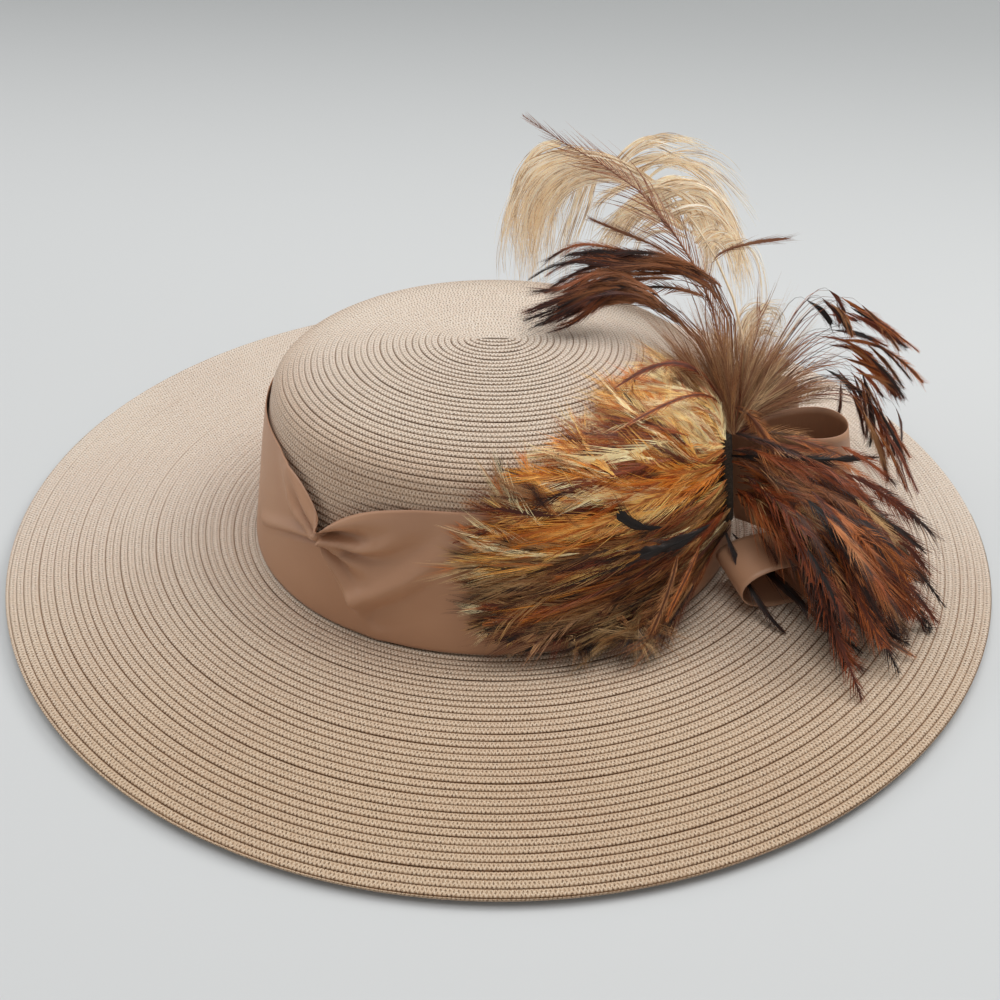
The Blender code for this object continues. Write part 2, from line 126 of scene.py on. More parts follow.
CROWN_ROW_TABLE = (
    # row from the tip, height as a share of the crown
    (0.0, 1.0),
    (28.0, 0.899),
    (34.0, 0.800),
    (58.0, 0.0),
)

# Satin ribbon
RIB_PITCH = 0.45 * MM
BAND_GRID = (330, 48)
BAND_LENGTH = 560.0 * MM
BAND_HEIGHT = 58.0 * MM
BAND_FOOT = 0.8 * MM
BAND_OFF = 0.9 * MM
# how far the satin stands off the straw where it lies plain, and at least, in mm
REST_LIFT = 0.3
LEAST_LIFT = 0.15
# the pinch: its turn and slack in degrees, its height in mm, and in mm how far the satin round it
# rises or sinks, each with its breadth
PINCH_TURN = -130.0
PINCH_SLACK = 9.0
PINCH_HEIGHT = 37.0
PINCH_RISE = (2.4, 24.0)
PINCH_SINK = (2.2, 1.6)
PINCH_DEPTH = 19.0 * MM
PINCH_CROWDING = 1.7
RIBBON_THICKNESS = 0.35 * MM
WELD_DISTANCE = 0.02 * MM
MM_PER_DEGREE = 1.54
FOLD_DEPTH = 2.0
BAND_FOLDS = (
    # rise in mm, breadth at start, breadth at end, share of the rise left at the end,
    # then turn from the pinch and height in mm of each point on the fold
    (2.2, 1.3, 4.0, 0.2, ((-0.5, 38.2), (-6.2, 39.8), (-9.7, 41.0), (-12.4, 43.6), (-18.4, 54.0))),
    (1.9, 1.0, 2.5, 0.3, ((-0.5, 40.5), (-4.9, 44.4), (-9.0, 48.4), (-15.0, 53.8))),
    (-1.5, 0.9, 2.0, 0.0, ((-2.0, 39.2), (-6.5, 42.0), (-11.0, 46.0))),
    (1.8, 1.5, 3.0, 0.4, ((-0.5, 36.6), (-4.0, 35.8), (-9.5, 33.2), (-17.5, 27.6), (-30.0, 18.0))),
    (-1.3, 1.0, 1.6, 0.3, ((-3.0, 34.0), (-9.5, 30.6), (-17.5, 25.0), (-30.0, 15.6))),
    (-2.6, 1.1, 4.2, 0.0, ((0.8, 38.9), (4.9, 40.0), (7.7, 40.6), (13.0, 41.5))),
    (2.3, 1.6, 6.0, 0.3, ((0.6, 41.4), (4.0, 45.0), (9.0, 48.8), (17.0, 52.0))),
    (2.5, 1.0, 4.5, 0.1, ((0.8, 37.4), (5.0, 37.6), (9.6, 37.4), (15.0, 40.2), (21.0, 47.5))),
    (-1.4, 1.4, 5.0, 0.2, ((6.0, 34.6), (12.0, 34.2), (18.0, 37.4), (25.0, 44.0))),
    (2.0, 0.9, 3.5, 0.2, ((0.9, 36.2), (3.4, 34.6), (7.0, 31.4), (11.0, 28.0))),
    (-2.0, 0.8, 2.6, 0.0, ((0.9, 35.2), (3.0, 32.4), (5.6, 28.8), (8.6, 24.4))),
    (2.2, 1.1, 4.0, 0.2, ((0.3, 35.6), (2.0, 31.0), (5.0, 24.0), (9.5, 14.0), (13.5, 4.0))),
    (2.2, 4.0, 5.0, 0.4, ((10.0, 17.0), (14.0, 21.0), (21.0, 29.0), (29.0, 41.0))),
    (-1.2, 3.5, 6.0, 0.6, ((14.0, 10.0), (22.0, 18.0), (32.0, 30.0))),
)


def distances(points):
    """How far each point lies from the first one, along the line through them."""
    steps = np.linalg.norm(np.diff(points, axis=0), axis=1)
    return np.concatenate(([0.0], np.cumsum(steps)))


def read_table(wanted, stations, table):
    """Each of the table's columns, whose rows stand at the stations, read at the wanted places."""
    return [np.interp(wanted, stations, column) for column in np.transpose(table)]


def smooth_columns(rows, width):
    """The table's columns at even steps along its run, with its corners rounded."""
    run = distances(rows[:, :2])
    steps = 600
    even = np.linspace(0.0, 1.0, steps + 1)
    columns = np.stack(read_table(even, run / run[-1], rows), 1)
    half = int(width * steps / 2)
    kernel = np.hanning(2 * half + 3)[1:-1]
    kernel = kernel / kernel.sum()
    before = 2 * columns[0] - columns[half:0:-1]
    after = 2 * columns[-1] - columns[-2:-half - 2:-1]
    padded = np.concatenate((before, columns, after))
    return even, np.stack([np.convolve(column, kernel, "valid") for column in padded.T], 1)


# Run from the crown's tip to its base, with height, half length and half width there
CROWN_RUN, CROWN_COLUMNS = smooth_columns(
    np.array(CROWN_PROFILE)[::-1] * (CROWN_HEIGHT, CROWN_LENGTH / 2, CROWN_WIDTH / 2), 0.05)
BRIM_TABLE = np.array(BRIM_PROFILE)


def unit(vectors):
    """The vectors at length one."""
    vectors = np.asarray(vectors, float)
    return vectors / np.maximum(np.linalg.norm(vectors, axis=-1, keepdims=True), 1e-12)


def crown_skin(turn, run):
    """Points on the crown: turn in radians, run from the tip to the base."""
    height, length, width = read_table(run, CROWN_RUN, CROWN_COLUMNS)
    x = CROWN_SHIFT[0] + length * np.cos(turn)
    y = CROWN_SHIFT[1] + width * np.sin(turn)
    return np.stack([x, y, CROWN_BASE + height + 0 * turn], -1)


def run_at_height(height):
    """Run at a height over the crown's base."""
    return np.interp(height, CROWN_COLUMNS[::-1, 0], CROWN_RUN[::-1])


def brim_skin(turn, across):
    """Points on the top of the brim: across from the head opening to the edge."""
    inner_x = CROWN_LENGTH / 2 - STRAW_WALL
    inner_y = CROWN_WIDTH / 2 - STRAW_WALL
    half_x = inner_x + (BRIM_LENGTH / 2 - inner_x) * across
    half_y = inner_y + (BRIM_WIDTH / 2 - inner_y) * across
    bowl, side = read_table(across, BRIM_TABLE[:, 0], BRIM_TABLE[:, 1:])
    rise = bowl * BRIM_BOWL + side * BRIM_SIDE_LIFT * np.cos(turn) ** 2
    x = CROWN_SHIFT[0] * (1 - across) + half_x * np.cos(turn)
    y = CROWN_SHIFT[1] * (1 - across) + half_y * np.sin(turn)
    return np.stack([x, y, STRAW_WALL + rise], -1)


def over_skin(skin, step, limits, turn, run, lift):
    """Points at a height over a skin, and the way it faces there."""
    turn, run, lift = np.broadcast_arrays(*(np.asarray(v, float) for v in (turn, run, lift)))
    out = skin(turn, np.minimum(run + step, limits[1]))
    out = out - skin(turn, np.maximum(run - step, limits[0]))
    along = skin(turn + step, run) - skin(turn - step, run)
    normal = unit(np.cross(out, along))
    return skin(turn, run) + normal * lift[..., None], normal


def over_crown(turn, run, lift):
    """Points at a height over the crown, and the way it faces there."""
    return over_skin(crown_skin, 0.004, (0.0, 1.0), turn, run, lift)


def over_brim(turn, across, lift):
    """Points at a height over the brim's top."""
    return over_skin(brim_skin, 0.02, (-0.02, 1.02), turn, across, lift)[0]


def compass(degrees):
    """A level direction, turned from +X towards +Y."""
    turn = math.radians(degrees)
    return np.array([math.cos(turn), math.sin(turn), 0.0])


class Wire:
    """A shader socket that takes part in sums written as Python expressions."""

    def __init__(self, finish, socket):
        self.finish = finish
        self.socket = socket

    def __add__(self, other):
        return self.finish.maths("ADD", self, other)

    def __radd__(self, other):
        return self.finish.maths("ADD", other, self)

    def __sub__(self, other):
        return self.finish.maths("SUBTRACT", self, other)

    def __rsub__(self, other):
        return self.finish.maths("SUBTRACT", other, self)

    def __mul__(self, other):
        return self.finish.maths("MULTIPLY", self, other)

    def __rmul__(self, other):
        return self.finish.maths("MULTIPLY", other, self)


class Finish:
    """A material and the nodes that give it its look."""

    def __init__(self, name, **shell):
        self.material = bpy.data.materials.new(name)
        self.material.use_nodes = True
        self.tree = self.material.node_tree
        self.shader = self.tree.nodes["Principled BSDF"]
        for socket, value in shell.items():
            self.shader.inputs[socket.replace("_", " ")].default_value = value

    def node(self, kind, settings=None, inputs=None, output=0):
        """Add a node: its settings first, then the values or links of its sockets."""
        node = self.tree.nodes.new(kind)
        for key, value in (settings or {}).items():
            if key == "stops":
                self.set_stops(node.color_ramp, value)
            else:
                setattr(node, key, value)
        for key, value in (inputs or {}).items():
            if isinstance(value, Wire):
                self.tree.links.new(value.socket, node.inputs[key])
            else:
                node.inputs[key].default_value = value
        return Wire(self, node.outputs[output])

    def set_stops(self, ramp, stops):
        """Give a colour ramp its stops."""
        while len(ramp.elements) > 1:
            ramp.elements.remove(ramp.elements[-1])
        for index, (place, colour) in enumerate(stops):
            element = ramp.elements[0] if index == 0 else ramp.elements.new(place)
            element.position = place
            element.color = (*colour, 1.0)

    def maths(self, operation, first, second=0.0):
        """One step of shader arithmetic."""
        return self.node("ShaderNodeMath", {"operation": operation}, {0: first, 1: second})

    def sine(self, value):
        """Sine of a value in radians."""
        return self.maths("SINE", value)

    def step(self, value, low, high):
        """Smooth step from 0 at low to 1 at high."""
        return self.node("ShaderNodeMapRange", {"interpolation_type": "SMOOTHSTEP"},
                         {0: value, 1: low, 2: high})

    def noise(self, vector, scale=1.0, detail=2.0):
        """Cloudy noise from 0 to 1."""
        return self.node("ShaderNodeTexNoise", None,
                         {"Vector": vector, "Scale": scale, "Detail": detail})

    def blend(self, factor, first, second, kind="MIX"):
        """Mix two colours; sockets 6 and 7 and output 2 are the Mix node's colours."""
        node = self.tree.nodes.new("ShaderNodeMix")
        node.data_type = "RGBA"
        node.blend_type = kind
        for key, value in ((0, factor), (6, first), (7, second)):
            if isinstance(value, Wire):
                self.tree.links.new(value.socket, node.inputs[key])
            elif key == 0:
                node.inputs[key].default_value = value
            else:
                node.inputs[key].default_value = (*value, 1.0)
        return Wire(self, node.outputs[2])

    def place(self):
        """Place on the hat, in metres."""
        return self.node("ShaderNodeTexCoord", output="Object")

    def place_along(self, axis):
        """Place along one axis: 0, 1 or 2 for X, Y or Z."""
        return self.node("ShaderNodeSeparateXYZ", None, {0: self.place()}, axis)

    def map(self, name):
        """The two parts of a UV map, and the map itself."""
        whole = self.node("ShaderNodeUVMap", {"uv_map": name})
        parts = self.tree.nodes.new("ShaderNodeSeparateXYZ")
        self.tree.links.new(whole.socket, parts.inputs[0])
        return Wire(self, parts.outputs[0]), Wire(self, parts.outputs[1]), whole

    def stretch(self, vector, scale):
        """A vector scaled along its axes."""
        return self.node("ShaderNodeVectorMath", {"operation": "MULTIPLY"},
                         {0: vector, 1: scale})

    def feed(self, socket, value):
        """Link a value to one of the shader's sockets."""
        self.tree.links.new(value.socket, self.shader.inputs[socket])

    def raise_by(self, height, distance, strength):
        """Bump the surface by a height."""
        bump = self.node("ShaderNodeBump", None,
                         {"Height": height, "Distance": distance, "Strength": strength})
        self.feed("Normal", bump)


def straw_finish():
    """Sewn straw braid: plaited fibres, pinholes, painted glints, and painted shade in the plait's
    hollows, along the seam beside each row, on the crown's wall and towards the front.
    """
    straw = Finish("straw_braid", Roughness=0.6, Specular_IOR_Level=0.35)
    along, across, whole = straw.map("braid")
    stitch = along * (2 * math.pi / STITCH_PITCH)
    slant = across * (2 * math.pi * 1.1)
    wander = straw.noise(straw.stretch(whole, (520.0, 1.6, 1.0))) * 6.0
    left = straw.sine(stitch + slant + wander)
    right = straw.sine(stitch - slant + wander)
    plait = straw.maths("MAXIMUM", left, right)
    hollow = straw.step(plait, 0.25, -0.35)
    speck = straw.noise(straw.stretch(whole, (2300.0, 6.0, 1.0)), 1.0, 1.0)
    pin = hollow * straw.step(speck, 0.50, 0.62)
    painted_glint = straw.step(speck, 0.50, 0.36) * straw.step(plait, -0.1, 0.7)
    tide = straw.noise(straw.place(), 14.0, 3.0)
    fibre = straw.noise(straw.stretch(whole, (900.0, 2.2, 1.0)), 1.0, 3.0)
    base = straw.blend(straw.step(tide, 0.35, 0.65), (0.84, 0.71, 0.59), (0.78, 0.64, 0.53))
    base = straw.blend(straw.step(fibre, 0.35, 0.7) * 0.45, base, (0.86, 0.77, 0.66))
    # painted shade: the plait darker in its hollows
    base = straw.blend(straw.step(plait, 0.5, -0.1) * 0.6, base, (0.46, 0.33, 0.23))
    # painted highlight: bright glints on the fibres, blended into the base colour
    base = straw.blend(painted_glint, base, (1.0, 0.96, 0.90))
    # painted shade: darker in the groove beneath each row's step, and on the step's face at the
    # row's outer edge
    painted_seam_shade = straw.step(across, 0.17, 0.02) * 0.85
    edge = straw.step(across, 0.985, 1.012) * 0.75
    base = straw.blend(straw.maths("MAXIMUM", painted_seam_shade, edge), base, (0.36, 0.21, 0.12))
    base = straw.blend(pin * 0.85, base, (0.13, 0.07, 0.04))
    # painted shade: the crown's wall is a little darker, and the straw warmer and darker towards
    # the front, where less light falls
    height = straw.place_along(2)
    wall = straw.step(height, 0.012, 0.022) * straw.step(height, 0.080, 0.070)
    base = straw.blend(wall, base, (0.88, 0.80, 0.74), "MULTIPLY")
    painted_front_shade = straw.step(straw.place_along(1), 0.02, -0.16)
    base = straw.blend(painted_front_shade, base, (0.77, 0.67, 0.55), "MULTIPLY")
    straw.feed("Base Color", base)
    straw.feed("Roughness", 0.62 - painted_glint * 0.25)
    straw.raise_by(plait * 0.5 + fibre * 0.5 - pin, 0.22 * MM, 0.8)
    return straw.material


def satin_finish():
    """Satin ribbon: fine cross ribs, a soft sheen and slight shade differences."""
    satin = Finish("ribbon_satin", Base_Color=(0.46, 0.24, 0.14, 1.0), Roughness=0.38,
                   Specular_IOR_Level=0.5, Sheen_Weight=0.10, Sheen_Roughness=0.4,
                   Sheen_Tint=(1.0, 0.76, 0.58, 1.0), Anisotropic=0.4)
    along, across, whole = satin.map("cloth")
    ribs = satin.sine(along * (2 * math.pi / RIB_PITCH))
    streak = satin.noise(satin.stretch(whole, (60.0, 1500.0, 1.0)))
    cloud = satin.noise(satin.place(), 40.0)
    selvage = satin.step(satin.maths("ABSOLUTE", across - 0.5), 0.475, 0.5)
    colour = satin.blend(satin.step(cloud, 0.3, 0.7) * 0.5, (0.49, 0.270, 0.160),
                         (0.43, 0.225, 0.130))
    colour = satin.blend(satin.step(streak, 0.4, 0.7) * 0.25, colour, (0.58, 0.33, 0.20))
    colour = satin.blend(selvage * 0.5, colour, (0.54, 0.30, 0.19))
    satin.feed("Base Color", colour)
    satin.feed("Roughness", 0.33 + streak * 0.12)
    satin.raise_by(ribs * 0.4 + streak, 0.03 * MM, 0.5)
    return satin.material


def feather_finish(name, tones, tips, bars=0.0, roots=None, core=None, painted_glow=0.0, grain=150.0):
    """Feather vane: a tone for each feather, a dark core or dark tips on some, barb streaks, and a
    painted glow that stands in for light shining through the vane.
    """
    vane = Finish(name, Roughness=0.48, Specular_IOR_Level=0.35, Emission_Strength=painted_glow)
    along, across, whole = vane.map("vane")
    tone, chance, _ = vane.map("tone")
    scatter = vane.node("ShaderNodeVectorMath", {"operation": "MULTIPLY_ADD"},
                        {0: whole, 1: (grain, 1.2, 1.0), 2: chance * 40.0})
    streak = 0.5 + (vane.noise(scatter, 1.0, 1.0) - 0.5) * vane.step(across, 0.01, 0.05)
    drift = vane.noise(vane.place(), 90.0)
    tone = tone + (drift - 0.5) * 0.35 + (streak - 0.5) * 0.35
    colour = vane.node("ShaderNodeValToRGB", {"stops": tones}, {0: tone})
    if bars:
        wave = vane.sine(along * 60.0 + chance * 40.0 + drift * 8.0)
        barred = vane.step(wave, 0.2, 0.8) * vane.step(chance, 0.70, 0.72) * bars
        colour = vane.blend(barred, colour, (0.035, 0.018, 0.010))
    if core:
        inner = vane.step(across + (streak - 0.5) * 0.5, 0.40, 0.14)
        colour = vane.blend(inner * vane.step(chance, 0.60, 0.50) * 0.85, colour, core)
    tip = vane.step(along + (streak - 0.5) * 0.3, 0.66, 0.88) * vane.step(chance, 0.46, 0.52)
    colour = vane.blend(tip * 0.92, colour, tips)
    if roots:
        colour = vane.blend(vane.step(along, 0.50, 0.20), colour, roots)
    bright = vane.step(streak, 0.52, 0.72) * 0.7
    colour = vane.blend(bright, colour, (0.95, 0.80, 0.60), "SOFT_LIGHT")
    dim = vane.step(streak, 0.48, 0.30) * 0.75
    colour = vane.blend(dim, colour, (0.30, 0.20, 0.14), "MULTIPLY")
    vane.feed("Base Color", colour)
    # painted light: the vane glows in its own colour, standing in for light shining through thin
    # barbs
    vane.feed("Emission Color", colour)
    vane.raise_by(streak, 0.12 * MM, 0.6)
    return vane.material


def tape_finish():
    """Dark cloth tape."""
    tape = Finish("binding_tape", Roughness=0.8)
    grain = tape.noise(tape.stretch(tape.place(), (1.0, 1.0, 2.0)), 900.0)
    colour = tape.blend(tape.step(grain, 0.3, 0.7), (0.030, 0.022, 0.016), (0.085, 0.065, 0.045))
    tape.feed("Base Color", colour)
    tape.raise_by(grain, 0.15 * MM, 0.7)
    return tape.material


def deselect():
    """Nothing selected and no edit mode."""
    if bpy.context.mode != "OBJECT":
        bpy.ops.object.mode_set(mode="OBJECT")
    bpy.ops.object.select_all(action="DESELECT")


def editing(piece):
    """Edit one object with nothing in it selected."""
    bpy.context.view_layer.objects.active = piece
    bpy.ops.object.mode_set(mode="EDIT")
    bpy.ops.mesh.select_all(action="DESELECT")


def pick_vertices(piece, test):
    """Select a mesh's vertices by their place, and stay in edit mode."""
    bpy.ops.mesh.select_all(action="DESELECT")
    bpy.ops.object.mode_set(mode="OBJECT")
    for vertex in piece.data.vertices:
        vertex.select = bool(test(vertex.co))
    bpy.ops.object.mode_set(mode="EDIT")


def edit_all(piece, operator, **settings):
    """Run one edit mode operator on all of a mesh."""
    editing(piece)
    bpy.ops.mesh.select_all(action="SELECT")
    operator(**settings)
    bpy.ops.object.mode_set(mode="OBJECT")


def apply_modifiers(piece):
    """Apply every modifier in order."""
    bpy.context.view_layer.objects.active = piece
    for modifier in list(piece.modifiers):
        bpy.ops.object.modifier_apply(modifier=modifier.name)


def vertex_array(piece):
    """The places of a mesh's vertices."""
    places = np.empty(len(piece.data.vertices) * 3)
    piece.data.vertices.foreach_get("co", places)
    return places.reshape(-1, 3)


def move_vertices(piece, places):
    """Put a mesh's vertices in new places."""
    piece.data.vertices.foreach_set("co", np.asarray(places, float).ravel())
    piece.data.update()


def write_map(piece, name, values):
    """A UV map from one pair of values for each vertex."""
    loops = np.empty(len(piece.data.loops), int)
    piece.data.loops.foreach_get("vertex_index", loops)
    layer = piece.data.uv_layers.get(name) or piece.data.uv_layers.new(name=name)
    layer.data.foreach_set("uv", np.asarray(values, float)[loops].ravel())


def clear_maps(piece):
    """Remove every UV map."""
    while piece.data.uv_layers:
        piece.data.uv_layers.remove(piece.data.uv_layers[0])


def finish_piece(piece, name, material, slot, *nodes):
    """Name a piece, dress it, hang it on the root body and hide the CAD parts that it stands for.
    """
    piece.name = name
    piece.data.name = name
    piece.data.materials.clear()
    piece.data.materials.append(material)
    piece.data.shade_smooth()
    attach(piece, "root")
    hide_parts(*nodes)


def wind_braid(rows, steps, lay):
    """Wind the braid's section up as a helix, one row a turn, and lay it on the straw's skin."""
    deselect()
    section = len(BRAID_SECTION)
    bpy.ops.mesh.primitive_circle_add(vertices=section, radius=1.0)
    braid = bpy.context.object
    # a rough upright section to wind; each point's real place comes from its row and turn below
    rough = [(1.0 + height * 0.01, 0.0, across * MM) for across, height in BRAID_SECTION]
    move_vertices(braid, rough)
    screw = braid.modifiers.new("wound", "SCREW")
    screw.axis = "Z"
    screw.angle = 2 * math.pi
    screw.steps = steps
    screw.render_steps = steps
    screw.iterations = rows + 1
    screw.screw_offset = 1.0
    screw.use_merge_vertices = False
    apply_modifiers(braid)
    count = len(braid.data.vertices) // section
    turns = np.repeat(np.arange(count) / steps, section)
    table = np.tile(np.array(BRAID_SECTION), (count, 1))
    wander = ROW_WANDER * np.sin(turns * 5.1 + 1.3) * np.sin(turns * 2 * math.pi * 3.37)
    row = np.clip(turns - 1.0 + table[:, 0] + wander * (turns > 2) * (turns < rows - 1), 0, rows)
    lift = table[:, 1] * MM * (1.0 + ROW_SWELL * np.sin(turns * 2 * math.pi * 7.3))
    places = lay(turns * 2 * math.pi, row, lift)
    move_vertices(braid, places)
    length = distances(places[BRAID_SECTION.index(BRAID_CREST)::section])
    clear_maps(braid)
    write_map(braid, "braid", np.stack([np.repeat(length, section), table[:, 0]], 1))
    edit_all(braid, bpy.ops.mesh.normals_make_consistent, inside=False)
    return braid


def crown_run_of_row(row):
    """Run on the crown of a braid row counted from the tip."""
    table = np.array(CROWN_ROW_TABLE)
    runs = run_at_height(table[:, 1] * CROWN_HEIGHT)
    runs[0] = 0.0
    return np.interp(row, table[:, 0], runs)


def make_straw(material):
    """Crown and brim, each one long braid sewn row on row."""

    def lay_crown(turn, row, lift):
        return over_crown(turn, crown_run_of_row(row), lift)[0]

    def lay_brim(turn, row, lift):
        return over_brim(turn, row / BRIM_ROWS, lift)

    crown = wind_braid(CROWN_ROWS, CROWN_STEPS, lay_crown)
    finish_piece(crown, "straw_crown", material, "straw", "crown")
    brim = wind_braid(BRIM_ROWS, BRIM_STEPS, lay_brim)
    finish_piece(brim, "straw_brim", material, "straw", "brim")


def cloth_grid(columns, rows, length, lay):
    """A ribbon of a length as a grid of columns and rows that is laid by a rule."""
    deselect()
    bpy.ops.mesh.primitive_grid_add(x_subdivisions=columns, y_subdivisions=rows, size=1.0)
    cloth = bpy.context.object
    flat = vertex_array(cloth)[:, :2] + 0.5
    move_vertices(cloth, lay(flat[:, 0], flat[:, 1]))
    clear_maps(cloth)
    write_map(cloth, "cloth", flat * (length, 1.0))
    return cloth


def close_wall(cloth, ends_meet=False):
    """Give a ribbon its thickness, after its two ends are joined where they meet."""
    if ends_meet:
        edit_all(cloth, bpy.ops.mesh.remove_doubles, threshold=WELD_DISTANCE)
    wall = cloth.modifiers.new("wall", "SOLIDIFY")
    wall.thickness = RIBBON_THICKNESS
    wall.offset = 0.0
    apply_modifiers(cloth)


def fold_lift(away, height):
    """How far the satin stands off the straw near its pinch: turn from it, and height in mm."""
    here = np.stack([away * MM_PER_DEGREE, height], -1)
    lift = np.full_like(away, REST_LIFT)
    for rise, narrow, wide, left_over, points in BAND_FOLDS:
        line = np.array(points) * (MM_PER_DEGREE, 1.0)
        lengths = distances(line)
        nearest = np.full_like(away, 1e3)
        travelled = np.zeros_like(away)
        for part in range(len(line) - 1):
            step = line[part + 1] - line[part]
            share = np.clip((here - line[part]) @ step / (step @ step), 0.0, 1.0)
            gap = np.linalg.norm(here - line[part] - share[..., None] * step, axis=-1)
            closer = gap < nearest
            nearest = np.where(closer, gap, nearest)
            run = (lengths[part] + share * (lengths[part + 1] - lengths[part])) / lengths[-1]
            travelled = np.where(closer, run, travelled)
        breadth = narrow + (wide - narrow) * travelled
        strength = FOLD_DEPTH * rise * (1.0 - (1.0 - left_over) * travelled)
        lift = lift + strength * np.exp(-(nearest / breadth) ** 2)
    from_pinch = np.hypot(here[..., 0], here[..., 1] - PINCH_HEIGHT)
    slack, stitch = (amount * np.exp(-(from_pinch / breadth) ** 2)
                     for amount, breadth in (PINCH_RISE, PINCH_SINK))
    return np.maximum(lift + slack - stitch, LEAST_LIFT) * MM


def make_band(material):
    """Satin ribbon round the crown, gathered at one stitched pinch."""

    def lay(around, level):
        away = (around - 0.5) * 360.0
        # more columns near the pinch than elsewhere
        away = np.sign(away) * 180.0 * np.abs(away / 180.0) ** PINCH_CROWDING
        top = BAND_HEIGHT - PINCH_DEPTH * np.exp(-np.abs(away) / PINCH_SLACK)
        height = BAND_FOOT + top * level
        lift = BAND_OFF + fold_lift(away, height / MM)
        turn = np.radians(PINCH_TURN + away)
        return over_crown(turn, run_at_height(height), lift)[0]

    band = cloth_grid(*BAND_GRID, BAND_LENGTH, lay)
    close_wall(band, ends_meet=True)
    finish_piece(band, "satin_band", material, "satin", "hatband")


def loop_path(reach, breadth, half_root, steps):
    """Outline of a standing loop seen from above: out along x, across along y."""
    theta = np.pi * (2.0 * steps - 1.0)
    out = (1.0 + np.cos(theta)) / 2
    swell = np.sin(theta) * out ** 0.7 * 1.25
    across = np.copysign(half_root, theta) * (1.0 - out) + breadth / 2 * swell
    return out * reach, across


LOOP_GRID = (96, 14)
LOOP_LENGTH = 110.0 * MM
LOOP_ROOT_HEIGHT = 6.5 * MM
LOOP_ROOT_OFF = 3.0 * MM
LOOP_SLOPE_TURN = -21.0
LOOP_SLOPE_HEIGHTS = (21.0 * MM, 59.0 * MM)
LOOP_TUCK = 0.16
LOOP_HALF_ROOT = 0.8 * MM
UPRIGHT_LOOPS = (
    # node, turn of root, heading, reach, breadth, height, lean in mm
    ("bow_loop_right", -10.5, 0.0, 45.0, 24.0, 48.0, 3.0),
    ("bow_loop_back", -1.5, 36.0, 36.0, 14.9, 46.0, 2.0),
)
LOW_LOOP_GRID = (96, 10)
LOW_LOOP_LENGTH = 85.0 * MM
LOW_LOOP_HEADING = -74.0
# where it sits on the brim: turn in degrees and share across
LOW_LOOP_SEAT = (-27.5, 0.24)
LOW_LOOP_LIFT = 10.2 * MM
LOW_LOOP_HALF_WIDTH = 18.0 * MM
LOW_LOOP_HALF_HEIGHT = 9.0 * MM
LOW_LOOP_DEPTH = 23.0 * MM


def make_bow(material):
    """Two loops that stand on edge, as steep as the crown's wall, and one that lies on the brim."""
    low, high = (crown_skin(math.radians(LOOP_SLOPE_TURN), run_at_height(height))
                 for height in LOOP_SLOPE_HEIGHTS)
    up = unit(high - low)
    for node, root_turn, heading, reach, breadth, height, lean in UPRIGHT_LOOPS:
        root, _ = over_crown(math.radians(root_turn), run_at_height(LOOP_ROOT_HEIGHT),
                             LOOP_ROOT_OFF)

        def lay(along, level):
            out, across = loop_path(reach * MM, breadth * MM, LOOP_HALF_ROOT, along)
            share = out / (reach * MM)
            tuck = 1.0 - LOOP_TUCK * (1.0 - share) ** 2
            rise = (0.5 + (level - 0.5) * tuck) * height * MM
            flare = lean * MM * 0.3 * np.sin(np.pi * level) * share
            wave = 0.4 * MM * np.sin(along * 19.0 + level * 3.0) * share
            return (root + np.outer(out + flare, compass(heading))
                    + np.outer(across + wave, compass(heading + 90.0)) + np.outer(rise, up))

        loop = cloth_grid(*LOOP_GRID, LOOP_LENGTH, lay)
        close_wall(loop)
        finish_piece(loop, "satin_" + node, material, "satin", node)

    seat_turn, seat_across = LOW_LOOP_SEAT
    centre = brim_skin(math.radians(seat_turn), seat_across) + (0.0, 0.0, LOW_LOOP_LIFT)

    def lay_low(along, level):
        theta = 2 * np.pi * along
        wide = np.copysign(np.abs(np.cos(theta)) ** 0.8, np.cos(theta)) * LOW_LOOP_HALF_WIDTH
        pinch = 1.0 - 0.25 * (1 - level) ** 2
        rise = np.sin(theta) * pinch * LOW_LOOP_HALF_HEIGHT
        return (centre + np.outer(wide, compass(LOW_LOOP_HEADING + 90.0))
                + np.outer(rise, (0.0, 0.0, 1.0))
                + np.outer((level - 0.5) * LOW_LOOP_DEPTH, compass(LOW_LOOP_HEADING)))

    loop = cloth_grid(*LOW_LOOP_GRID, LOW_LOOP_LENGTH, lay_low)
    close_wall(loop, ends_meet=True)
    finish_piece(loop, "satin_bow_loop_low", material, "satin", "bow_loop_low")


TAPE_TURNS = 9.0
TAPE_CUTS = 44
TAPE_LEAN = (2.4 * MM, -0.9 * MM)
TAPE_HALF_WIDTH = 3.3 * MM
TAPE_HALF_DEPTH = 2.0 * MM


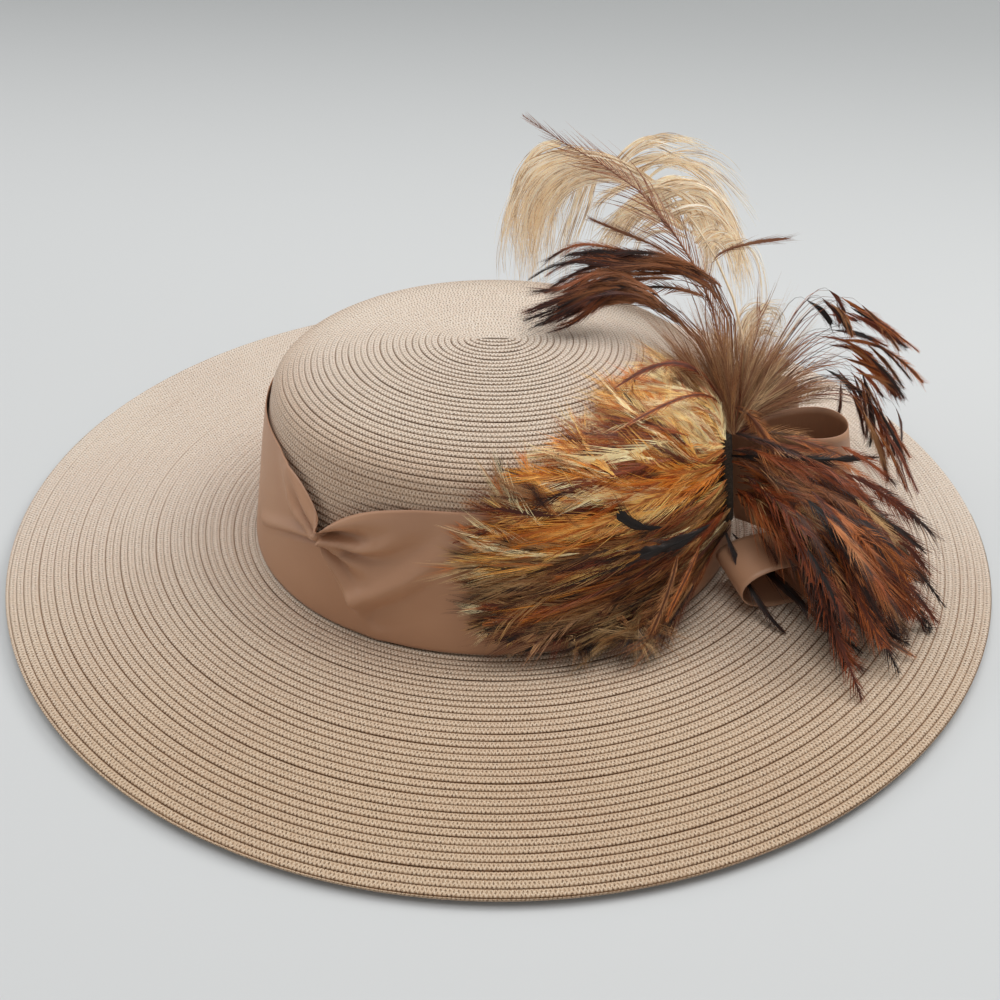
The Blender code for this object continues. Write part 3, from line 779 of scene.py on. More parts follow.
def make_binding(material):
    """Dark tape wound round the feather roots."""
    low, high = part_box("feather_binding")
    middle_x = (low.x + high.x) / 2
    middle_y = (low.y + high.y) / 2
    bottom = np.array([middle_x + TAPE_LEAN[0], middle_y + TAPE_LEAN[1], low.z])
    top = np.array([middle_x - TAPE_LEAN[0], middle_y - TAPE_LEAN[1], high.z])
    out = unit((0.90, -0.40, 0.10))
    along = unit(np.cross(top - bottom, out))
    deselect()
    bpy.ops.mesh.primitive_cylinder_add(vertices=20, radius=1.0, depth=1.0, end_fill_type="NGON")
    tape = bpy.context.object
    editing(tape)
    for cut in range(1, TAPE_CUTS):
        bpy.ops.mesh.select_all(action="SELECT")
        bpy.ops.mesh.bisect(plane_co=(0, 0, cut / TAPE_CUTS - 0.5), plane_no=(0, 0, 1))
    bpy.ops.object.mode_set(mode="OBJECT")
    points = vertex_array(tape)
    level = points[:, 2] + 0.5
    angle = np.arctan2(points[:, 1], points[:, 0])
    wrap = 1.0 + 0.07 * np.abs(np.sin(math.pi * (level * TAPE_TURNS + angle / (2 * math.pi))))
    radius = np.hypot(points[:, 0], points[:, 1]) * wrap
    radius = radius * (0.86 + 0.14 * np.sin(math.pi * np.clip(level, 0.02, 0.98)) ** 0.4)
    centre = bottom + (top - bottom) * level[:, None]
    move_vertices(tape, centre + np.outer(radius * np.cos(angle) * TAPE_HALF_WIDTH, along)
                  + np.outer(radius * np.sin(angle) * TAPE_HALF_DEPTH, out))
    edit_all(tape, bpy.ops.mesh.normals_make_consistent, inside=False)
    finish_piece(tape, "tape_binding", material, "tape", "feather_binding")


SHAFT_PARTS = 8
# barbs that spread less than this share of the feather's half width are left out
LEAST_SPREAD = 0.02
BARB_CURL = 0.12


class Pattern:
    """Flat pattern of a feather, one unit long: a web, barbs that reach past it and a shaft."""

    def __init__(self, barbs, parts, share=0.4):
        deselect()
        bpy.ops.mesh.primitive_grid_add(x_subdivisions=1, y_subdivisions=parts, size=1.0)
        barb = bpy.context.object
        editing(barb)
        for row in range(parts + 1):
            pick_vertices(barb, lambda co: abs(co.y + 0.5 - row / parts) < 0.01)
            wide = (1.0 - 0.85 * (row / parts) ** 2) * share / barbs
            bpy.ops.transform.resize(value=(wide, 1.0, 1.0), center_override=(0, 0, 0))
        bpy.ops.mesh.select_all(action="SELECT")
        bpy.ops.transform.translate(value=(0.0, 0.502, 0.0))
        bpy.ops.object.mode_set(mode="OBJECT")
        array = barb.modifiers.new("along the shaft", "ARRAY")
        array.count = barbs
        array.use_relative_offset = False
        array.use_constant_offset = True
        array.constant_offset_displace = (1.0 / barbs, 0.0, 0.0)
        mirror = barb.modifiers.new("both sides", "MIRROR")
        mirror.use_axis = (False, True, False)
        mirror.use_mirror_merge = False
        apply_modifiers(barb)
        points, self.faces = take_mesh(barb)
        self.barbs = barbs
        self.index = np.round(points[:, 0] * barbs).astype(int)
        self.root = (self.index + 0.5) / barbs
        self.edge = (points[:, 0] - self.index / barbs) * barbs
        self.side = np.sign(points[:, 1])
        self.reach = np.abs(points[:, 1])
        bpy.ops.mesh.primitive_grid_add(x_subdivisions=12, y_subdivisions=4, size=1.0)
        self.web, self.web_faces = take_mesh(bpy.context.object)
        bpy.ops.mesh.primitive_circle_add(vertices=3, radius=1.0, rotation=(0, math.pi / 2, 0))
        shaft = bpy.context.object
        bpy.ops.object.transform_apply(location=True, rotation=True, scale=True)
        editing(shaft)
        bpy.ops.mesh.select_all(action="SELECT")
        for part in range(SHAFT_PARTS):
            bpy.ops.mesh.extrude_region_move(
                TRANSFORM_OT_translate={"value": (1 / SHAFT_PARTS, 0.0, 0.0)})
        bpy.ops.object.mode_set(mode="OBJECT")
        self.shaft, self.shaft_faces = take_mesh(shaft)


def take_mesh(piece):
    """A mesh's points and faces as arrays; the object itself is not kept."""
    points = vertex_array(piece)
    faces = np.array([list(face.vertices) for face in piece.data.polygons])
    bpy.data.objects.remove(piece)
    return points, faces


class Frames:
    """Places and directions along a path that has a flat side."""

    def __init__(self, path, face):
        path = np.asarray(path, float)
        tangent = unit(np.gradient(path, axis=0))
        face = unit(np.broadcast_to(face, path.shape))
        side = unit(np.cross(face, tangent))
        self.length = distances(path)[-1]
        self.stations = np.linspace(0.0, 1.0, len(path))
        self.lines = (path, tangent, side, unit(np.cross(tangent, side)))

    def at(self, along, lateral, lift):
        """Points at shares along the path, moved sideways and off the flat side."""
        share = np.clip(along, 0.0, 1.0)
        path, tangent, side, face = (np.stack(read_table(share, self.stations, line), 1)
                                     for line in self.lines)
        path = path + tangent * ((along - share) * self.length)[:, None]
        return path + side * np.asarray(lateral)[:, None] + face * np.asarray(lift)[:, None]


class Plumage:
    """Feathers gathered into one mesh."""

    def __init__(self, seed):
        self.random = np.random.default_rng(seed)
        self.points = []
        self.faces = []
        self.vane = []
        self.tone = []
        self.total = 0

    def keep(self, points, faces, vane, tone):
        """Add points and faces, with their places on the vane and their feather's tone."""
        self.points.append(points)
        self.faces.append(faces + self.total)
        self.vane.append(vane)
        self.tone.append(np.tile(tone, (len(points), 1)))
        self.total += len(points)

    def feather(self, pattern, path, face, width, outline, tone, angle, stem, loose, web,
                cup=0.15):
        """Lay one feather on a path. face is the way its flat side looks, width its half width."""
        rng = self.random
        frames = Frames(path, face)
        stray = rng.normal(0.0, 1.0, (2, pattern.barbs))
        slow = np.convolve(rng.normal(0.0, 1.0, pattern.barbs + 6), np.ones(7) / 7, "valid") * 2.0
        places = (np.arange(pattern.barbs) + 0.5) / pattern.barbs

        def lay(root, side, reach, edge, jitter, lean):
            spread = np.interp(root, outline[0], outline[1]) * width
            lateral = side * spread * jitter * (reach - BARB_CURL * reach ** 2)
            advance = spread / math.tan(math.radians(angle)) * lean
            advance = advance * (reach + BARB_CURL * reach ** 2)
            along = root + advance / frames.length + edge
            lift = loose * spread * 0.5 * np.interp(root, places, slow) * reach
            lift = lift - cup * np.abs(lateral) ** 2 / width
            return frames.at(along, lateral, lift), spread

        which = ((pattern.side + 1) / 2).astype(int)
        own = stray[which, pattern.index]
        lean = 1.0 + (0.5 * own + slow[pattern.index]) * loose
        points, spread = lay(pattern.root, pattern.side, pattern.reach,
                             pattern.edge * 2.0 / pattern.barbs, 1.0 + loose * own, lean)
        kept = pattern.faces[spread[pattern.faces[:, 0]] > LEAST_SPREAD * width]
        self.keep(points, kept, np.stack([pattern.root, pattern.reach], 1), tone)
        if web:
            root = pattern.web[:, 0] + 0.5
            reach = np.abs(pattern.web[:, 1]) * 2.0 * web
            drift = 1.0 + loose * np.interp(root, places, slow)
            points, spread = lay(root, np.sign(pattern.web[:, 1]), reach, 0.0, drift, 1.0)
            kept = pattern.web_faces[spread[pattern.web_faces[:, 0]] > LEAST_SPREAD * width]
            self.keep(points, kept, np.stack([root, reach], 1), tone)
        self.shaft(pattern, frames, stem, tone)

    def shaft(self, pattern, frames, thick, tone):
        """Lay a thin tapering stem on a path."""
        share = pattern.shaft[:, 0]
        thick = thick * MM * (1.0 - 0.8 * share)
        points = frames.at(share, pattern.shaft[:, 1] * thick, pattern.shaft[:, 2] * thick)
        self.keep(points, pattern.shaft_faces, np.stack([share, np.zeros(len(share))], 1), tone)

    def strand(self, path, width, tone, face):
        """Lay one thin flat strand on a path, tapering to its tip."""
        path = np.asarray(path, float)
        tangent = unit(np.gradient(path, axis=0))
        side = unit(np.cross(np.broadcast_to(face, path.shape), tangent))
        share = np.linspace(0.0, 1.0, len(path))
        half = width * (1.0 - 0.85 * share ** 2) / 2
        points = np.concatenate((path - side * half[:, None], path + side * half[:, None]))
        count = len(path)
        first = np.arange(count - 1)
        faces = np.stack([first, first + 1, first + 1 + count, first + count], 1)
        vane = np.stack([np.tile(share, 2), np.full(2 * count, 0.5)], 1)
        self.keep(points, faces, vane, tone)

    def make(self, name, material, slot, *nodes):
        """Join what was laid into one piece."""
        points = np.concatenate(self.points)
        faces = np.concatenate(self.faces)
        used = np.zeros(len(points), bool)
        used[faces.ravel()] = True
        renumber = np.cumsum(used) - 1
        mesh = bpy.data.meshes.new(name)
        mesh.from_pydata(points[used].tolist(), [], renumber[faces].tolist())
        piece = bpy.data.objects.new(name, mesh)
        bpy.context.scene.collection.objects.link(piece)
        write_map(piece, "vane", np.concatenate(self.vane)[used])
        write_map(piece, "tone", np.concatenate(self.tone)[used])
        finish_piece(piece, name, material, slot, *nodes)


def plumage_groups(seed, names):
    """One empty mesh of feathers for each finish, each with a seed of its own."""
    return {name: Plumage(seed + index) for index, name in enumerate(names)}


def make_groups(groups, finishes, start_of_name, slot, node):
    """Join each group's feathers into one piece, named for its finish."""
    for name, group in groups.items():
        group.make(start_of_name + name, finishes[name], slot, node)


HACKLE = ((0.0, 0.15, 0.35, 0.75, 0.92, 1.0), (0.45, 0.9, 1.0, 0.72, 0.38, 0.08))
BLADE = ((0.0, 0.08, 0.3, 0.7, 0.92, 1.0), (0.2, 0.6, 1.0, 0.9, 0.5, 0.08))
SLIM = ((0.0, 0.1, 0.5, 1.0), (0.3, 0.8, 1.0, 0.5))
QUILLED = ((0.0, 0.15, 0.35, 0.6, 0.85, 1.0), (0.0, 0.4, 1.0, 0.9, 0.35, 0.02))
PATH_POINTS = 10
TOP_SPRAY_FEATHERS = 150
LEFT_PAD_FEATHERS = 640
RIGHT_PAD_FEATHERS = 250


def arc(root, heading, climb, reach, droop):
    """A path that leaves its root on a heading and a climb, and droops."""
    share = np.linspace(0.0, 1.0, PATH_POINTS)[:, None]
    climb = math.radians(climb)
    way = compass(heading) * math.cos(climb) + (0.0, 0.0, math.sin(climb))
    path = root + way * reach * share
    path[:, 2] -= reach * droop * share[:, 0] ** 2
    return path


def curve(root, first, second, tip, count):
    """A path from root to tip that leans towards two more places."""
    share = np.linspace(0.0, 1.0, count)[:, None]
    back = 1.0 - share
    root, first, second, tip = np.array((root, first, second, tip), float)
    return (back ** 3 * root + 3 * back ** 2 * share * first
            + 3 * back * share ** 2 * second + share ** 3 * tip)


def through(points, count):
    """A smooth path through the points, with even steps."""
    points = np.asarray(points, float)
    run = distances(points)
    slopes = np.gradient(points, run, axis=0)
    places = np.linspace(0.0, run[-1], count)
    part = np.clip(np.searchsorted(run, places, side="right") - 1, 0, len(run) - 2)
    gap = (run[part + 1] - run[part])[:, None]
    share = (places - run[part])[:, None] / gap
    return ((2 * share ** 3 - 3 * share ** 2 + 1) * points[part]
            + (share ** 3 - 2 * share ** 2 + share) * gap * slopes[part]
            + (3 * share ** 2 - 2 * share ** 3) * points[part + 1]
            + (share ** 3 - share ** 2) * gap * slopes[part + 1])


def part_of(path, start, end):
    """The part of a path between two shares of it, with as many points."""
    stations = np.linspace(0.0, 1.0, len(path))
    return np.stack(read_table(np.linspace(start, end, len(path)), stations, path), 1)


def columns_at(table, share):
    """The table's columns read at a share, which is its first column."""
    rows = np.array(table, float)
    return read_table(share, rows[:, 0], rows[:, 1:])


def random_tone(rng):
    """A feather's tone and its chance of a bar, core or tip, each from 0 to 1."""
    return rng.uniform(0, 1), rng.uniform(0, 1)


LEFT_PAD_RIBS = (
    # share down the pad, root height in mm, tip turn in degrees, share of the crown's run that is
    # left below the tip, tip lift
    (-0.150, 61.0, -8.0, 0.700, 1.4),
    (0.000, 59.0, -46.0, 0.740, 1.0),
    (0.125, 56.0, -70.0, 0.640, 1.0),
    (0.250, 52.0, -96.0, 0.500, 1.0),
    (0.375, 46.0, -103.0, 0.300, 1.2),
    (0.500, 40.0, -101.0, 0.225, 1.3),
    (0.625, 35.0, -100.0, 0.160, 1.5),
    (0.750, 30.0, -97.0, 0.090, 2.0),
    (0.875, 26.0, -86.0, 0.050, 3.5),
    (1.000, 23.0, -62.0, 0.045, 7.0),
)


def on_left_pad(across, along, lift):
    """Place on the left pad: across from its upper edge to its lower, along from root to tip."""
    root_height, tip_turn, tip_run, tip_lift = columns_at(LEFT_PAD_RIBS, across)
    root_run = run_at_height(root_height * MM)
    turn = -26.0 + (tip_turn + 26.0) * along
    run = root_run + ((1.0 - tip_run) - root_run) * along ** 1.15
    rise = lift + 3.2 * MM * (tip_lift - 1.0) * along ** 2
    return over_crown(np.radians(turn), run, rise)


LEFT_PAD_MIX = (
    # share down the pad up to here, then the share of each finish
    (0.15, (("gold", 0.90), ("rust", 1.0))),
    (0.42, (("gold", 0.74), ("rust", 1.0))),
    (0.70, (("tan", 0.36), ("rust", 0.64), ("dark", 0.84), ("gold", 1.0))),
    (1.30, (("tan", 0.50), ("dark", 0.76), ("rust", 1.0))),
)
FORWARD_UP = (0, -1, 0.6)
UP_FORWARD = (0, -0.6, 1)
FORWARD_OUT = (0.1, -1, 0.3)
OUT_UP = (0.1, -0.8, 0.7)
OVER_BRIM = (0.2, -0.5, 1)
LEFT_SINGLES = (
    # finish, tone, half width in mm, face, root, first lean, second lean and tip in mm
    ("dark", 0.0, 3.6, FORWARD_UP, (56, -66, 50), (50, -71, 52), (44, -73, 56), (40, -73, 61)),
    ("dark", 0.1, 4.2, FORWARD_UP, (74, -58, 45), (64, -68, 45), (56, -73, 46), (48, -76, 46)),
    ("rust", 0.9, 2.0, FORWARD_UP, (62, -68, 40), (60, -75, 30), (55, -81, 20), (51, -84, 10)),
    ("rust", 0.7, 1.6, FORWARD_UP, (70, -64, 40), (66, -73, 34), (60, -79, 28), (58, -83, 22)),
    ("rust", 0.2, 2.0, UP_FORWARD, (80, -24, 74), (70, -18, 90), (58, -22, 94), (40, -34, 86)),
    ("rust", 0.5, 1.7, UP_FORWARD, (80, -24, 72), (72, -30, 86), (60, -40, 86), (42, -52, 82)),
)


def lay_singles(groups, pattern, rows):
    """Single feathers that stand out from the mass."""
    for name, tone, width, face, root, first, second, tip in rows:
        path = curve(root, first, second, tip, 14) * MM
        groups[name].feather(pattern, path, face, width * MM, BLADE, (tone, 0.3), angle=18.0,
                             loose=0.3, stem=0.2, cup=0.25, web=0.5)


def make_left_pad(patterns, finishes):
    """Hackles in layers round the front of the crown."""
    groups = plumage_groups(11, finishes)
    rng = np.random.default_rng(5)
    share = np.linspace(0.0, 1.0, PATH_POINTS)
    for step in range(LEFT_PAD_FEATHERS):
        across = rng.uniform(-0.15, 1.02)
        outer = rng.uniform() < 0.45
        end = rng.uniform(0.78, 0.98) if outer else rng.uniform(0.28, 0.86)
        end *= 0.90 + 0.10 * min(max(across / 0.3, 0.0), 1.0)
        span = rng.uniform(0.30, 0.46)
        start = max(end - span, 0.0)
        drift = rng.normal(0.0, 0.055) + 0.05 * (across - 0.3)
        bend = rng.normal(0.0, 0.04)
        lift = (1.6 + 5.5 * np.clip(1.05 - end + rng.normal(0.0, 0.15), 0.0, 1.0)) * MM
        along = start + (end - start) * share
        # the upper edge is thinner, so the straw shows through it
        if across < 0.03 and rng.uniform() < 0.45:
            continue
        rise = lift * (1.0 - 0.5 * share) + rng.uniform(0.0, 1.8) * MM * share ** 2 + 0.6 * MM
        path = np.empty((PATH_POINTS, 3))
        face = np.empty((PATH_POINTS, 3))
        for i in range(PATH_POINTS):
            level = across + drift * share[i] + bend * share[i] ** 2
            level = float(np.clip(level, -0.15, 1.03))
            path[i], face[i] = on_left_pad(level, along[i], rise[i])
        roll = rng.normal(0.0, 0.4)
        side = unit(np.cross(face, unit(np.gradient(path, axis=0))))
        face = face * math.cos(roll) + side * math.sin(roll)
        place = across + rng.normal(0.0, 0.05)
        patch = math.sin(across * 31.0 + end * 5.0) + math.sin(across * 13.0 - end * 11.0 + 2.0)
        pick = float(np.clip(0.5 + 0.27 * patch + rng.normal(0.0, 0.16), 0.0, 1.0))
        mix = next(shares for limit, shares in LEFT_PAD_MIX if place < limit)
        name = next(name for name, limit in mix if pick <= limit)
        wispy = across < 0.08
        width = rng.uniform(2.4, 4.2) * MM if wispy else rng.uniform(2.8, 5.2) * MM
        tone = 0.5 + 0.3 * math.sin(across * 17.0 + end * 14.0) + rng.normal(0.0, 0.28)
        tone = float(np.clip(tone + (0.3 if end > 0.88 or wispy else 0.0), 0.0, 1.0))
        groups[name].feather(patterns["hackle"], path, face, width, HACKLE,
                             (tone, rng.uniform(0, 1)), angle=rng.uniform(12.0, 19.0),
                             loose=0.3, stem=0.16,
                             web=0.0 if wispy else 0.14 if across < 0.45 else 0.24)
    lay_singles(groups, patterns["fine"], LEFT_SINGLES)
    make_groups(groups, finishes, "hackles_left_", "gold_hackle", "hackle_pad_left")


RIGHT_PAD_RIBS = (
    # share across, heading, climb, reach, droop
    (0.00, -25.0, 8.0, 0.98, 0.62),
    (0.33, -32.0, 10.0, 1.06, 0.58),
    (0.67, -50.0, 16.0, 1.12, 0.60),
    (1.00, -61.0, 22.0, 0.95, 0.60),
)
TOP_SPRAY_RIBS = (
    # share across, heading, climb, reach, droop
    (0.0, 150.0, 58.0, 0.74, 0.30),
    (0.4, 72.0, 52.0, 0.88, 0.28),
    (0.7, 44.0, 50.0, 0.86, 0.36),
    (1.0, 30.0, 46.0, 0.74, 0.36),
)
RIGHT_SINGLES = (
    # finish, tone, half width in mm, face, root, first lean, second lean and tip in mm
    ("rust", 0.85, 4.2, FORWARD_OUT, (84, -24, 72), (91, -24, 72), (97, -33, 62), (104, -40, 50)),
    ("dark", 0.7, 2.0, OUT_UP, (83, -24, 62), (90, -32, 64), (98, -37, 64), (108, -39, 61)),
    ("dark", 0.2, 2.6, OUT_UP, (84, -26, 52), (98, -36, 58), (114, -41, 60), (134, -41, 62)),
    ("rust", 0.5, 2.0, OUT_UP, (84, -26, 50), (100, -38, 53), (112, -43, 52), (124, -45, 50)),
    ("dark", 0.4, 3.0, OVER_BRIM, (88, -34, 22), (97, -50, 20), (108, -66, 14), (128, -84, 8)),
    ("dark", 0.5, 2.3, OVER_BRIM, (84, -34, 26), (87, -50, 22), (92, -66, 14), (103, -73, 7)),
    ("tan", 0.2, 2.5, OVER_BRIM, (104, -52, 26), (118, -66, 18), (132, -78, 12), (146, -86, 8)),
    ("dark", 0.1, 3.4, OVER_BRIM, (104, -42, 34), (120, -52, 28), (134, -60, 20), (148, -66, 11)),
    ("dark", 0.2, 3.3, OVER_BRIM, (106, -40, 30), (120, -54, 22), (130, -66, 15), (143, -76, 9)),
    ("dark", 0.0, 3.0, OVER_BRIM, (110, -38, 36), (124, -48, 32), (138, -58, 24), (152, -66, 14)),
    ("rust", 0.2, 3.0, OVER_BRIM, (100, -40, 40), (118, -46, 38), (134, -52, 28), (150, -56, 14)),
)


def trim_root(level, out):
    """Place on the binding's outer side, from its foot to its top, moved out by a distance."""
    low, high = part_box("feather_binding")
    middle_y = (low.y + high.y) / 2
    bottom = np.array([high.x - 1.2 * MM, middle_y - 2.0 * MM, low.z])
    top = np.array([(low.x + high.x) / 2 - 1.0 * MM, middle_y, high.z])
    return bottom + (top - bottom) * level + np.array([0.92, -0.38, 0.0]) * out


def make_right_pad(patterns, finishes):
    """Hackles that fan from the binding over the brim."""
    groups = plumage_groups(21, finishes)
    rng = np.random.default_rng(6)
    for step in range(RIGHT_PAD_FEATHERS):
        across = rng.uniform(-0.05, 1.05)
        heading, climb, reach, droop = columns_at(RIGHT_PAD_RIBS, across)
        far = 76 * MM * reach
        heading = max(heading + rng.normal(0, 12), -66.0)
        climb += rng.normal(4, 8)
        path = arc(trim_root(0.86 - 0.66 * across + rng.normal(0, 0.05), 0.8 * MM), heading, climb,
                   far * rng.uniform(0.85, 1.06), droop + rng.normal(0, 0.06))
        outer = rng.uniform() < 0.50 + 0.42 * across
        # every fourth one is broad and loose, with no web
        wispy = step % 4 == 0
        start = rng.uniform(0.48, 0.70) if outer else rng.uniform(0.0, 0.46)
        start = rng.uniform(0.0, 0.18) if wispy else start
        path = part_of(path, start, min(start + rng.uniform(0.28, 0.42), 1.0))
        path[:, 2] = np.maximum(path[:, 2] + rng.normal(1.5, 1.5) * MM, 7.5 * MM)
        pick = rng.uniform()
        name = "rust" if pick < 0.66 else "dark" if pick < 0.90 else "tan"
        if across > 0.55 and outer:
            name = "dark" if pick < 0.7 else "rust"
        if wispy:
            name = "rust" if pick < 0.7 else "tan"
        face = unit((rng.normal(0, 0.4), -0.5 + rng.normal(0, 0.3), 1.0))
        width = rng.uniform(4.0, 6.5) if wispy else rng.uniform(2.4, 4.4)
        groups[name].feather(patterns["hackle"], path, face, width * MM, HACKLE,
                             random_tone(rng), angle=rng.uniform(16.0, 26.0), loose=0.4,
                             stem=0.18, web=0.22 if outer and not wispy else 0.0)
    lay_singles(groups, patterns["fine"], RIGHT_SINGLES)
    make_groups(groups, finishes, "hackles_right_", "rust_hackle", "hackle_pad_right")


SWEEP_PATHS = (
    # feathers, spread in mm, then places on the way from root to tip in mm
    (12, 3.6, ((82, -18, 70), (85, -4, 90), (83, 8, 99), (75, 24, 101), (52, 42, 96),
               (30, 50, 93), (17, 47, 85))),
    (11, 3.4, ((82, -18, 70), (84, -4, 90), (80, 8, 102), (67, 24, 102), (47, 42, 93),
               (32, 50, 84), (22, 47, 78))),
    (12, 3.6, ((82, -18, 70), (76, -12, 86), (67, -4, 93), (55, 6, 100), (42, 12, 101),
               (22, 4, 93), (12, 6, 89))),
    (12, 3.4, ((82, -18, 70), (73, -8, 90), (63, 4, 96), (51, 10, 101), (35, 12, 100),
               (20, 10, 94), (8, 10, 89))),
)


def make_sweep(patterns, dark):
    """Broad dark feathers that curve back over the crown's tip."""
    sweep = Plumage(31)
    rng = np.random.default_rng(7)
    for count, spread, places in SWEEP_PATHS:
        for step in range(count):
            path = through(places, 24)
            share = np.linspace(0.0, 1.0, 24)[:, None]
            path = path + rng.normal(0.0, 1.3 * spread, 3) * (0.8, 1.0, 1.1) * share ** 1.3
            path = (path + rng.normal(0.0, 1.6, 3) * (1.0 - share)) * MM
            tone = random_tone(rng)
            face = unit((rng.normal(0, 0.25), -0.75 + rng.normal(0, 0.25), 0.65))
            start = rng.uniform(0.30, 0.66)
            sweep.shaft(patterns["fine"], Frames(path, face), 0.18, tone)
            sweep.feather(patterns["fine"], part_of(path, start, rng.uniform(0.80, 1.0)), face,
                          rng.uniform(1.6, 3.2) * MM, HACKLE, tone, angle=12.0, loose=0.3,
                          stem=0.2, web=0.3)
    sweep.make("sweep_dark", dark, "dark_hackle", "dark_sweep")


RIGHT_SPRAY_TIPS = (
    # where each drooping tip starts and ends, in mm
    ((128, 40, 82), (137, 40, 71)),
    ((140, 40, 78), (166, 42, 59)),
    ((149, 40, 62), (169, 40, 40)),
    ((134, 38, 69), (150, 38, 65)),
    ((139, 35, 64), (160, 35, 48)),
    ((142, 30, 54), (156, 30, 38)),
    ((146, 28, 52), (151, 28, 32)),
    ((150, 20, 50), (158, 20, 29)),
    ((153, 10, 46), (161, 10, 29)),
    ((144, 0, 50), (160, -10, 24)),
)


def make_sprays(patterns, finishes):
    """Slim stems that fan up, and arching stems with drooping tips."""
    rng = np.random.default_rng(8)
    top = Plumage(41)
    for step in range(TOP_SPRAY_FEATHERS):
        across = 1.15 * rng.uniform() ** 1.7 - 0.1
        heading, climb, reach, droop = columns_at(TOP_SPRAY_RIBS, across)
        path = arc(trim_root(1.0, rng.uniform(-1, 2) * MM), heading + rng.normal(0, 11),
                   climb + rng.normal(0, 11), 66 * MM * reach * rng.uniform(0.5, 1.1), droop)
        face = unit(rng.normal(0, 1, 3) + (0, -1.0, 0.6))
        path = part_of(path, 0.0, rng.uniform(0.55, 1.0))
        top.feather(patterns["hackle"], path, face, rng.uniform(2.0, 4.6) * MM, SLIM,
                    random_tone(rng), angle=10.0, loose=0.4, stem=0.2, web=0.0)
    top.make("spray_top", finishes["stem"], "gold_hackle", "top_spray")
    groups = plumage_groups(42, ("rust", "dark"))
    for start, end in RIGHT_SPRAY_TIPS:
        for step in range(6):
            off = rng.normal(0.0, 1.0, 3) * (3.0, 4.0, 3.4) * (step > 0)
            start_here = np.array(start, float) + off
            end_here = np.array(end, float) + off + rng.normal(0.0, 3.0, 3) * (step > 0)
            root = trim_root(1.0, rng.uniform(0, 3) * MM) / MM
            first = root * 0.55 + start_here * 0.45 + (0.0, 4.0, 22.0)
            stem_path = curve(root, first, start_here + (start_here - end_here) * 0.6,
                              start_here, 16) * MM
            name = "dark" if rng.uniform() < 0.35 else "rust"
            tone = random_tone(rng)
            groups[name].shaft(patterns["slim"], Frames(stem_path, (0.3, -1.0, 0.3)), 0.22, tone)
            bow = start_here * 0.5 + end_here * 0.5 + (0.8, 0.0, 1.2)
            path = curve(start_here, bow, bow, end_here, 12) * MM
            face = unit(rng.normal(0, 0.4, 3) + (0.3, -1.0, 0.4))
            groups[name].feather(patterns["hackle"], path, face, rng.uniform(1.5, 2.8) * MM,
                                 BLADE, tone, angle=14.0, loose=0.25, stem=0.2, web=0.4)
    make_groups(groups, finishes, "spray_right_", "rust_hackle", "right_spray")


QUILL_PATH = ((82, -16, 69), (82, 6, 85), (74, 31, 101), (61, 51, 114), (47, 68, 122),
              (36, 76, 125), (20, 84, 132), (9, 88, 138))
QUILL_SIDE_FEATHERS = (
    # half width in mm, start of the vane, then places from root to tip in mm
    (2.2, 0.62, ((80, -14, 70), (76, 20, 86), (66, 52, 96), (50, 68, 97), (36, 73, 101))),
    (1.8, 0.64, ((82, -14, 70), (76, 10, 96), (80, 20, 110), (92, 20, 115), (106, 20, 117))),
    (1.6, 0.75, ((82, -14, 70), (80, 12, 88), (72, 36, 104), (62, 50, 112), (57, 54, 119))),
)


def make_quill(patterns, stem):
    """One long stem with fine barbs that leans back over the crown."""
    quill = Plumage(51)
    path = through(QUILL_PATH, 26) * MM
    quill.feather(patterns["long"], path, (0.3, -0.8, 0.55), 10.0 * MM, QUILLED, (0.08, 0.8),
                  angle=17.0, loose=0.25, stem=0.6, cup=0.2, web=0.0)
    for width, start, places in QUILL_SIDE_FEATHERS:
        path = through(places, 16) * MM
        quill.shaft(patterns["slim"], Frames(path, (0.2, -0.8, 0.6)), 0.3, (0.2, 0.3))
        quill.feather(patterns["fine"], part_of(path, start, 1.0), (0.2, -0.8, 0.6), width * MM,
                      BLADE, (0.1, 0.9), angle=14.0, loose=0.3, stem=0.2, web=0.3)
    quill.make("quill_tall", stem, "gold_hackle", "tall_quill")


